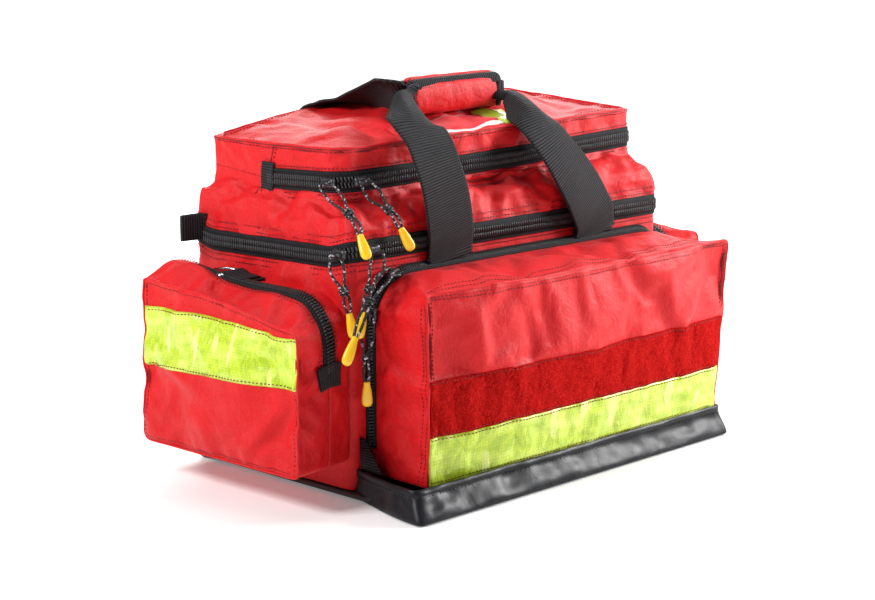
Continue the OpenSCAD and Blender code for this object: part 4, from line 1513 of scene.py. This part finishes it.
dark.make("top_flap_seam_shadow_lines", "top_flap", red_thread, "red_polyester")
for u0, v0, u1, v1 in ((0.018, 0.05, 0.018, 0.95), (0.982, 0.05, 0.982, 0.95), (0.05, 0.035, 0.95, 0.035),
                       (0.05, 0.965, 0.95, 0.965)):
    stitch_line(sewn, top.line("z+", [(u0, v0), (u1, v1)]))
seams.make("top_flap_welt", "top_flap", red, "red_polyester")
sewn.make("top_flap_stitches", "top_flap", red_thread, "red_polyester")
sewn = Part()
# besides the stitches, thin dark red tubes down the walls' sides and across the front pleats are painted shadow
# lines of the seams' and pleats' creases
for side in ("x-", "x+"):
    stitch_line(sewn, lid.line(side, [(0.56, 0.97), (0.60, 0.55)]), wide=0.45, lift=0.4)
    sewn.tube([p + n * 0.1 for p, n in lid.line(side, [(0.585, 0.97), (0.625, 0.55)], 2.5)], 0.5, 6)
for t0, t1, s0, s1 in ((0.70, 0.73, 0.30, 0.74), (0.605, 0.63, 0.32, 0.82)):
    sewn.tube([p + n * 0.15 for p, n in lid.line("y-", [(s0, t0), (s1, t1)], 2.5)], 0.45, 6,
              swell=lambda t: 0.3 + 0.7 * min(1, 6 * t, 6 * (1 - t)))
sewn.make("upper_wall_stitches_and_shadow_lines", "lid", red_thread, "red_polyester")


# ---------------------------------------------------------------- sliders, cords and moulded ends
def slider_mesh(name, at, along, out, body_name):
    """A zip slider: a waisted body and a raised bridge that the cord hangs from."""
    part = Part()
    at, along, out = Vector(at), Vector(along).normalized(), Vector(out).normalized()
    wide = out.cross(along).normalized()

    def at_point(a, w, o):
        return at + along * a + wide * w + out * o
    rings = []
    for a, half in ((-6.2, 3.2), (-5.6, 3.9), (-2.5, 4.3), (1.5, 3.9), (4.6, 4.9), (5.8, 4.6), (6.2, 3.8)):
        rings.append([at_point(a, w, o) for w, o in (
            (half, 1.0), (half - 0.5, 3.2), (half - 1.6, 4.0), (-half + 1.6, 4.0), (-half + 0.5, 3.2),
            (-half, 1.0), (-half + 0.6, 0.5), (half - 0.6, 0.5))])
    part.add([p for ring in rings for p in ring], ring_faces(len(rings), len(rings[0])))
    arch = [at_point(a, 0, o)
            for a, o in ((-4.6, 3.6), (-4.6, 5.2), (-3.6, 6.5), (0, 6.9), (3.4, 6.5), (4.2, 5.2), (4.2, 3.6))]
    part.sweep([(p, wide, out) for p in curve_points(arch, 0.8)],
               [(-1.3, -0.55), (1.3, -0.55), (1.3, 0.55), (-1.3, 0.55)])
    part.make(name, body_name, slider_metal, "slider_metal", [body_name])


def moulded_end(name, top_at, foot_at, face, body_name, node):
    """The pull's moulded end: a flat bell with a rounded foot, a collar at its neck and a slot."""
    part = Part()
    top_at, foot_at = Vector(top_at), Vector(foot_at)
    way = (foot_at - top_at).normalized()
    length = (foot_at - top_at).length
    out = square_to(Vector(face), way)
    wide = way.cross(out)
    rings = []
    for t, a, b in ((0.0, 1.9, 1.7), (0.02, 2.6, 2.2), (0.08, 2.9, 2.4), (0.13, 2.7, 2.2), (0.18, 3.1, 2.3),
                    (0.32, 3.7, 2.6), (0.5, 4.2, 2.8), (0.7, 4.6, 3.0), (0.84, 4.5, 2.9), (0.93, 3.8, 2.4),
                    (0.98, 2.5, 1.6), (1.0, 1.0, 0.7)):
        c = top_at + way * (length * t)
        ring = []
        for k in range(16):
            ang = 2 * math.pi * k / 16
            ca, sa = math.cos(ang), math.sin(ang)
            ring.append(c + wide * (a * math.copysign(abs(ca) ** 0.8, ca))
                        + out * (b * math.copysign(abs(sa) ** 0.8, sa)))
        rings.append(ring)
    part.add([p for ring in rings for p in ring], ring_faces(len(rings), len(rings[0])))
    c = top_at + way * (length * 0.5) + out * 2.72
    slot = [c + way * y + wide * x
            for x, y in ((-1.1, -3.4), (1.1, -3.4), (1.3, 0), (1.1, 3.4), (-1.1, 3.4), (-1.3, 0))]
    part.add(slot + [p - out * 0.6 for p in slot], [[0, 1, 2, 3, 4, 5]] + ring_faces(2, 6, caps=False), mat=1)
    part.make(name, body_name, [pull_plastic, black_thread], "pull_plastic", [node], sub=1)


CORD_D = 2.4
BRIDGE = 5.4        # how far out of the zip a slider's bridge is
KNOT_AT = 0.61      # the knot's place along the cord
LEG_STOPS = 11


def pull(tag, at, along, out, hang, end_mid, end_len, face):
    """Slider at a point, its cord looped through the bridge, knotted, and run into the moulded end."""
    slider_mesh("zip_slider_" + tag, at, along, out, "slider_" + tag)
    at, along, out = Vector(at), Vector(along).normalized(), Vector(out).normalized()
    eye = at + out * BRIDGE
    hang = [Vector(p) for p in hang]
    end_mid = Vector(end_mid)
    way_end = (end_mid - hang[-1]).normalized()
    neck = end_mid - way_end * (end_len / 2)
    line = curve_points([eye + out * 2.2] + hang + [neck], 2.0)
    total = length_of(line)
    side0 = Vector(face).cross(Vector((0, 0, 1))).normalized()

    def at_len(t):
        want = clamp(t) * total
        run = 0.0
        for a, b in zip(line, line[1:]):
            d = (b - a).length
            if run + d >= want:
                return a.lerp(b, (want - run) / d if d else 0), (b - a).normalized()
            run += d
        return line[-1], (line[-1] - line[-2]).normalized()
    # how far each leg stands from the middle: open at the bridge, closed by the knot
    widths = [(0.0, 3.6), (0.12, 5.2), (0.3, 5.4), (0.46, 3.0), (0.56, 1.35), (0.66, 1.35), (0.78, 2.6),
              (0.9, 2.2), (1.0, 1.3)]
    stops = []
    for s in (1, -1):
        leg = []
        for k in range(LEG_STOPS):
            t = k / (LEG_STOPS - 1)
            p, way = at_len(t)
            side = square_to(side0, way)
            front = way.cross(side)
            leg.append(p + side * (s * table(widths, t)) + front * (0.9 * s * math.sin(math.pi * t * 2.0)))
        stops += leg[::-1] if s > 0 else leg
    top_of_loop = (stops[LEG_STOPS - 1] + stops[LEG_STOPS]) / 2 + (eye - line[0]).normalized() * 2.2
    stops = stops[:LEG_STOPS] + [top_of_loop] + stops[LEG_STOPS:]
    pts = curve_points(stops, 2.0)
    curve = bpy.data.curves.new("pull_cord_line_" + tag, "CURVE")
    curve.dimensions = "3D"
    curve.bevel_depth = CORD_D / 2 * MM
    curve.bevel_resolution = 3
    curve.use_fill_caps = True
    spline = curve.splines.new("POLY")
    spline.points.add(len(pts) - 1)
    for q, p in zip(spline.points, pts):
        q.co = (*(p * MM), 1)
    curve.materials.append(pull_cord)
    cord = new_object("zip_cord_" + tag, curve)
    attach(cord, "pull_" + tag)
    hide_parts("pull_cord_" + tag)
    # knot: two and a half turns of the cord round its own two legs
    knot = Part()
    mid, way = at_len(KNOT_AT)
    side = square_to(side0, way)
    front = way.cross(side)
    coil = []
    for k in range(33):
        ang = 2 * math.pi * k / 13
        coil.append(mid + way * lerp(-3.4, 3.4, k / 32) + side * (3.4 * math.cos(ang))
                    + front * (2.7 * math.sin(ang)))
    knot.tube(coil, CORD_D / 2 * 0.96, 8, swell=lambda t: 0.55 + 0.45 * min(1, 8 * t, 8 * (1 - t)))
    knot_obj = knot.make("zip_cord_knot_" + tag, "pull_" + tag, pull_cord, "pull_cord")
    moulded_end("zip_pull_" + tag, neck - way_end * 0.6, neck + way_end * end_len, face, "pull_" + tag,
                "pull_end_" + tag)


# tag, slider's place, way along the zip, way out, points the cord hangs through, the moulded end's
# middle, its length and the way it faces
for pull_row in (
        ("main_left", (-189.4, -50, main_zip(-END, -50)), (0, 1, 0), (-1, 0, 0),
         [(-197, -54, 188), (-196, -61, 172)], (-194, -66, 147), 20, (-0.7, -1, 0)),
        ("main_front", (-167, -60.6, main_zip(-167, -60)), (1, 0, 0), (0, -1, 0),
         [(-169, -69, 190), (-180, -71, 174)], (-190.5, -73, 148), 21, (-0.7, -1, 0)),
        ("upper_left", (-176.6, -24, upper_zip(-176, -26)), (0, 1, 0), (-1, 0, 0),
         [(-182, -36, 245), (-183, -60, 228)], (-186, -72, 210.5), 21, (-0.7, -1, 0)),
        ("upper_front", (-156, -35.4, upper_zip(-156, -35)), (1, 0, 0), (0, -1, 0),
         [(-150, -48, 244), (-144, -64, 229)], (-137.5, -71, 210), 20, (-0.5, -1, 0)),
        ("pocket_top", (-146, -62.5, 179), (1, 0, 0), (0, -0.25, 1),
         [(-166, -74, 184), (-192, -80, 163)], (-211, -82, 132), 24, (-0.7, -1, 0)),
        ("pocket_side", (-167.5, -64, 152), (0, 0, 1), (-1, -0.2, 0),
         [(-179, -68, 136), (-182, -70, 118)], (-182.5, -71, 90), 20, (-0.7, -1, 0)),
        ("side_left", (-214, 125.2, 100), (0, 0, 1), (0, 1, 0),
         [(-214, 132.5, 90), (-213.5, 132.5, 76)], (-213.5, 132.5, 52), 20, (0, 1, 0)),
        ("side_right", (214, 125.2, 100), (0, 0, 1), (0, 1, 0),
         [(214, 132.5, 90), (213.5, 132.5, 76)], (213.5, 132.5, 52), 20, (0, 1, 0))):
    pull(*pull_row)


# ---------------------------------------------------------------- inside
for name, x in (("left", -63), ("right", 63)):
    def divider_place(u, v, w):
        full = 0.55 + 0.45 * bump(v) * bump(w)
        return x + lerp(-2.6, 2.6, u) * full, lerp(-52.6, 122.6, v), lerp(8.4, 149, w)
    pad = Shell((3, 28, 22), divider_place)
    pad.push(lambda p, par: 0.3 * ripple(p, 20, 5.0))
    made = pad.make("divider_" + name, "bag", divider_fabric, "divider_fabric",
                    ["padded_dividers"] if name == "left" else [], thick=0)
    edge = Part()
    rim_line = evenly([Vector((x, -52.8, 149)), Vector((x, 122.8, 149))], 6)
    edge.sweep([(p, Vector((1, 0, 0)), Vector((0, 0, 1))) for p in rim_line],
               [(-3.2, -4), (-3.4, 0), (0, 1.4), (3.4, 0), (3.2, -4), (2.6, -4), (2.4, 0), (-2.4, 0),
                (-2.6, -4)])
    edge.make("divider_binding_" + name, "bag", webbing, "black_webbing")

board = Shell((30, 22, 2), lambda u, v, w: (*plan(u, v, (-187, -132), (187, 128), 10), lerp(2.0, 6.0, w)))
board.make("stiffener", "bag", board_mat, "stiffener_board", ["base_board"], thick=0, sub=0)


# ---------------------------------------------------------------- floor and light
def floor_mat():
    """Pale studio floor: matt near the bag, where a faint glow of painted light lifts the bag's shadow, and
    running out into plain white away from it.
    """
    m = Mat("studio_floor", (0.88, 0.88, 0.88), 0.6, Specular_IOR_Level=0.2)
    m.color(m.mix(m.times(m.noise(900, 2), 0.05), (0.88, 0.88, 0.88), (0.85, 0.85, 0.85)))
    # the emission rises from 0.2 near the bag, painted light that lightens the bag's shadow, to plain white
    # further out
    away = m.node("ShaderNodeVectorMath", Vector=m.coord.outputs["Object"],
                  set_operation="LENGTH").outputs["Value"]
    fade = m.node("ShaderNodeMapRange", Value=away)
    for key, value in (("From Min", 0.32), ("From Max", 1.1), ("To Min", 0.20), ("To Max", 1.0)):
        fade.inputs[key].default_value = value
    m.shader.inputs["Emission Color"].default_value = (1, 1, 1, 1)
    m.t.links.new(fade.outputs[0], m.shader.inputs["Emission Strength"])
    return m.m


ground = bpy.data.meshes.new("floor_plane")
FLOOR_REACH, FLOOR_DROP = 30, 0.0006     # metres: half its side, and how far under the bag it lies
ground.from_pydata([(x * FLOOR_REACH, y * FLOOR_REACH, -FLOOR_DROP)
                    for x, y in ((-1, -1), (1, -1), (1, 1), (-1, 1))], [], [[0, 1, 2, 3]])
ground.materials.append(floor_mat())
new_object("floor_plane", ground)

world = bpy.data.worlds.new("studio")
SCENE.world = world
world.use_nodes = True
world.node_tree.nodes["Background"].inputs["Color"].default_value = (1, 1, 1, 1)
world.node_tree.nodes["Background"].inputs["Strength"].default_value = 0.14


def area(name, at, aim, size, power):
    data = bpy.data.lights.new(name, "AREA")
    data.shape = "RECTANGLE"
    data.size, data.size_y = size
    data.energy = power
    obj = new_object(name, data)
    obj.location = at
    obj.rotation_euler = (Vector(aim) - Vector(at)).to_track_quat("-Z", "Y").to_euler()


area("key", (1.14, -0.68, 0.68), (0.12, -0.05, 0.19), (0.5, 0.45), 30)
area("left", (-1.45, 0.35, 1.25), (-0.1, 0, 0.2), (0.6, 0.5), 27)
area("overhead", (0.2, 0.3, 1.7), (0, 0, 0.2), (0.9, 0.9), 12)
area("behind", (1.15, 1.15, 0.80), (0, 0, 0.25), (1.4, 0.6), 16)
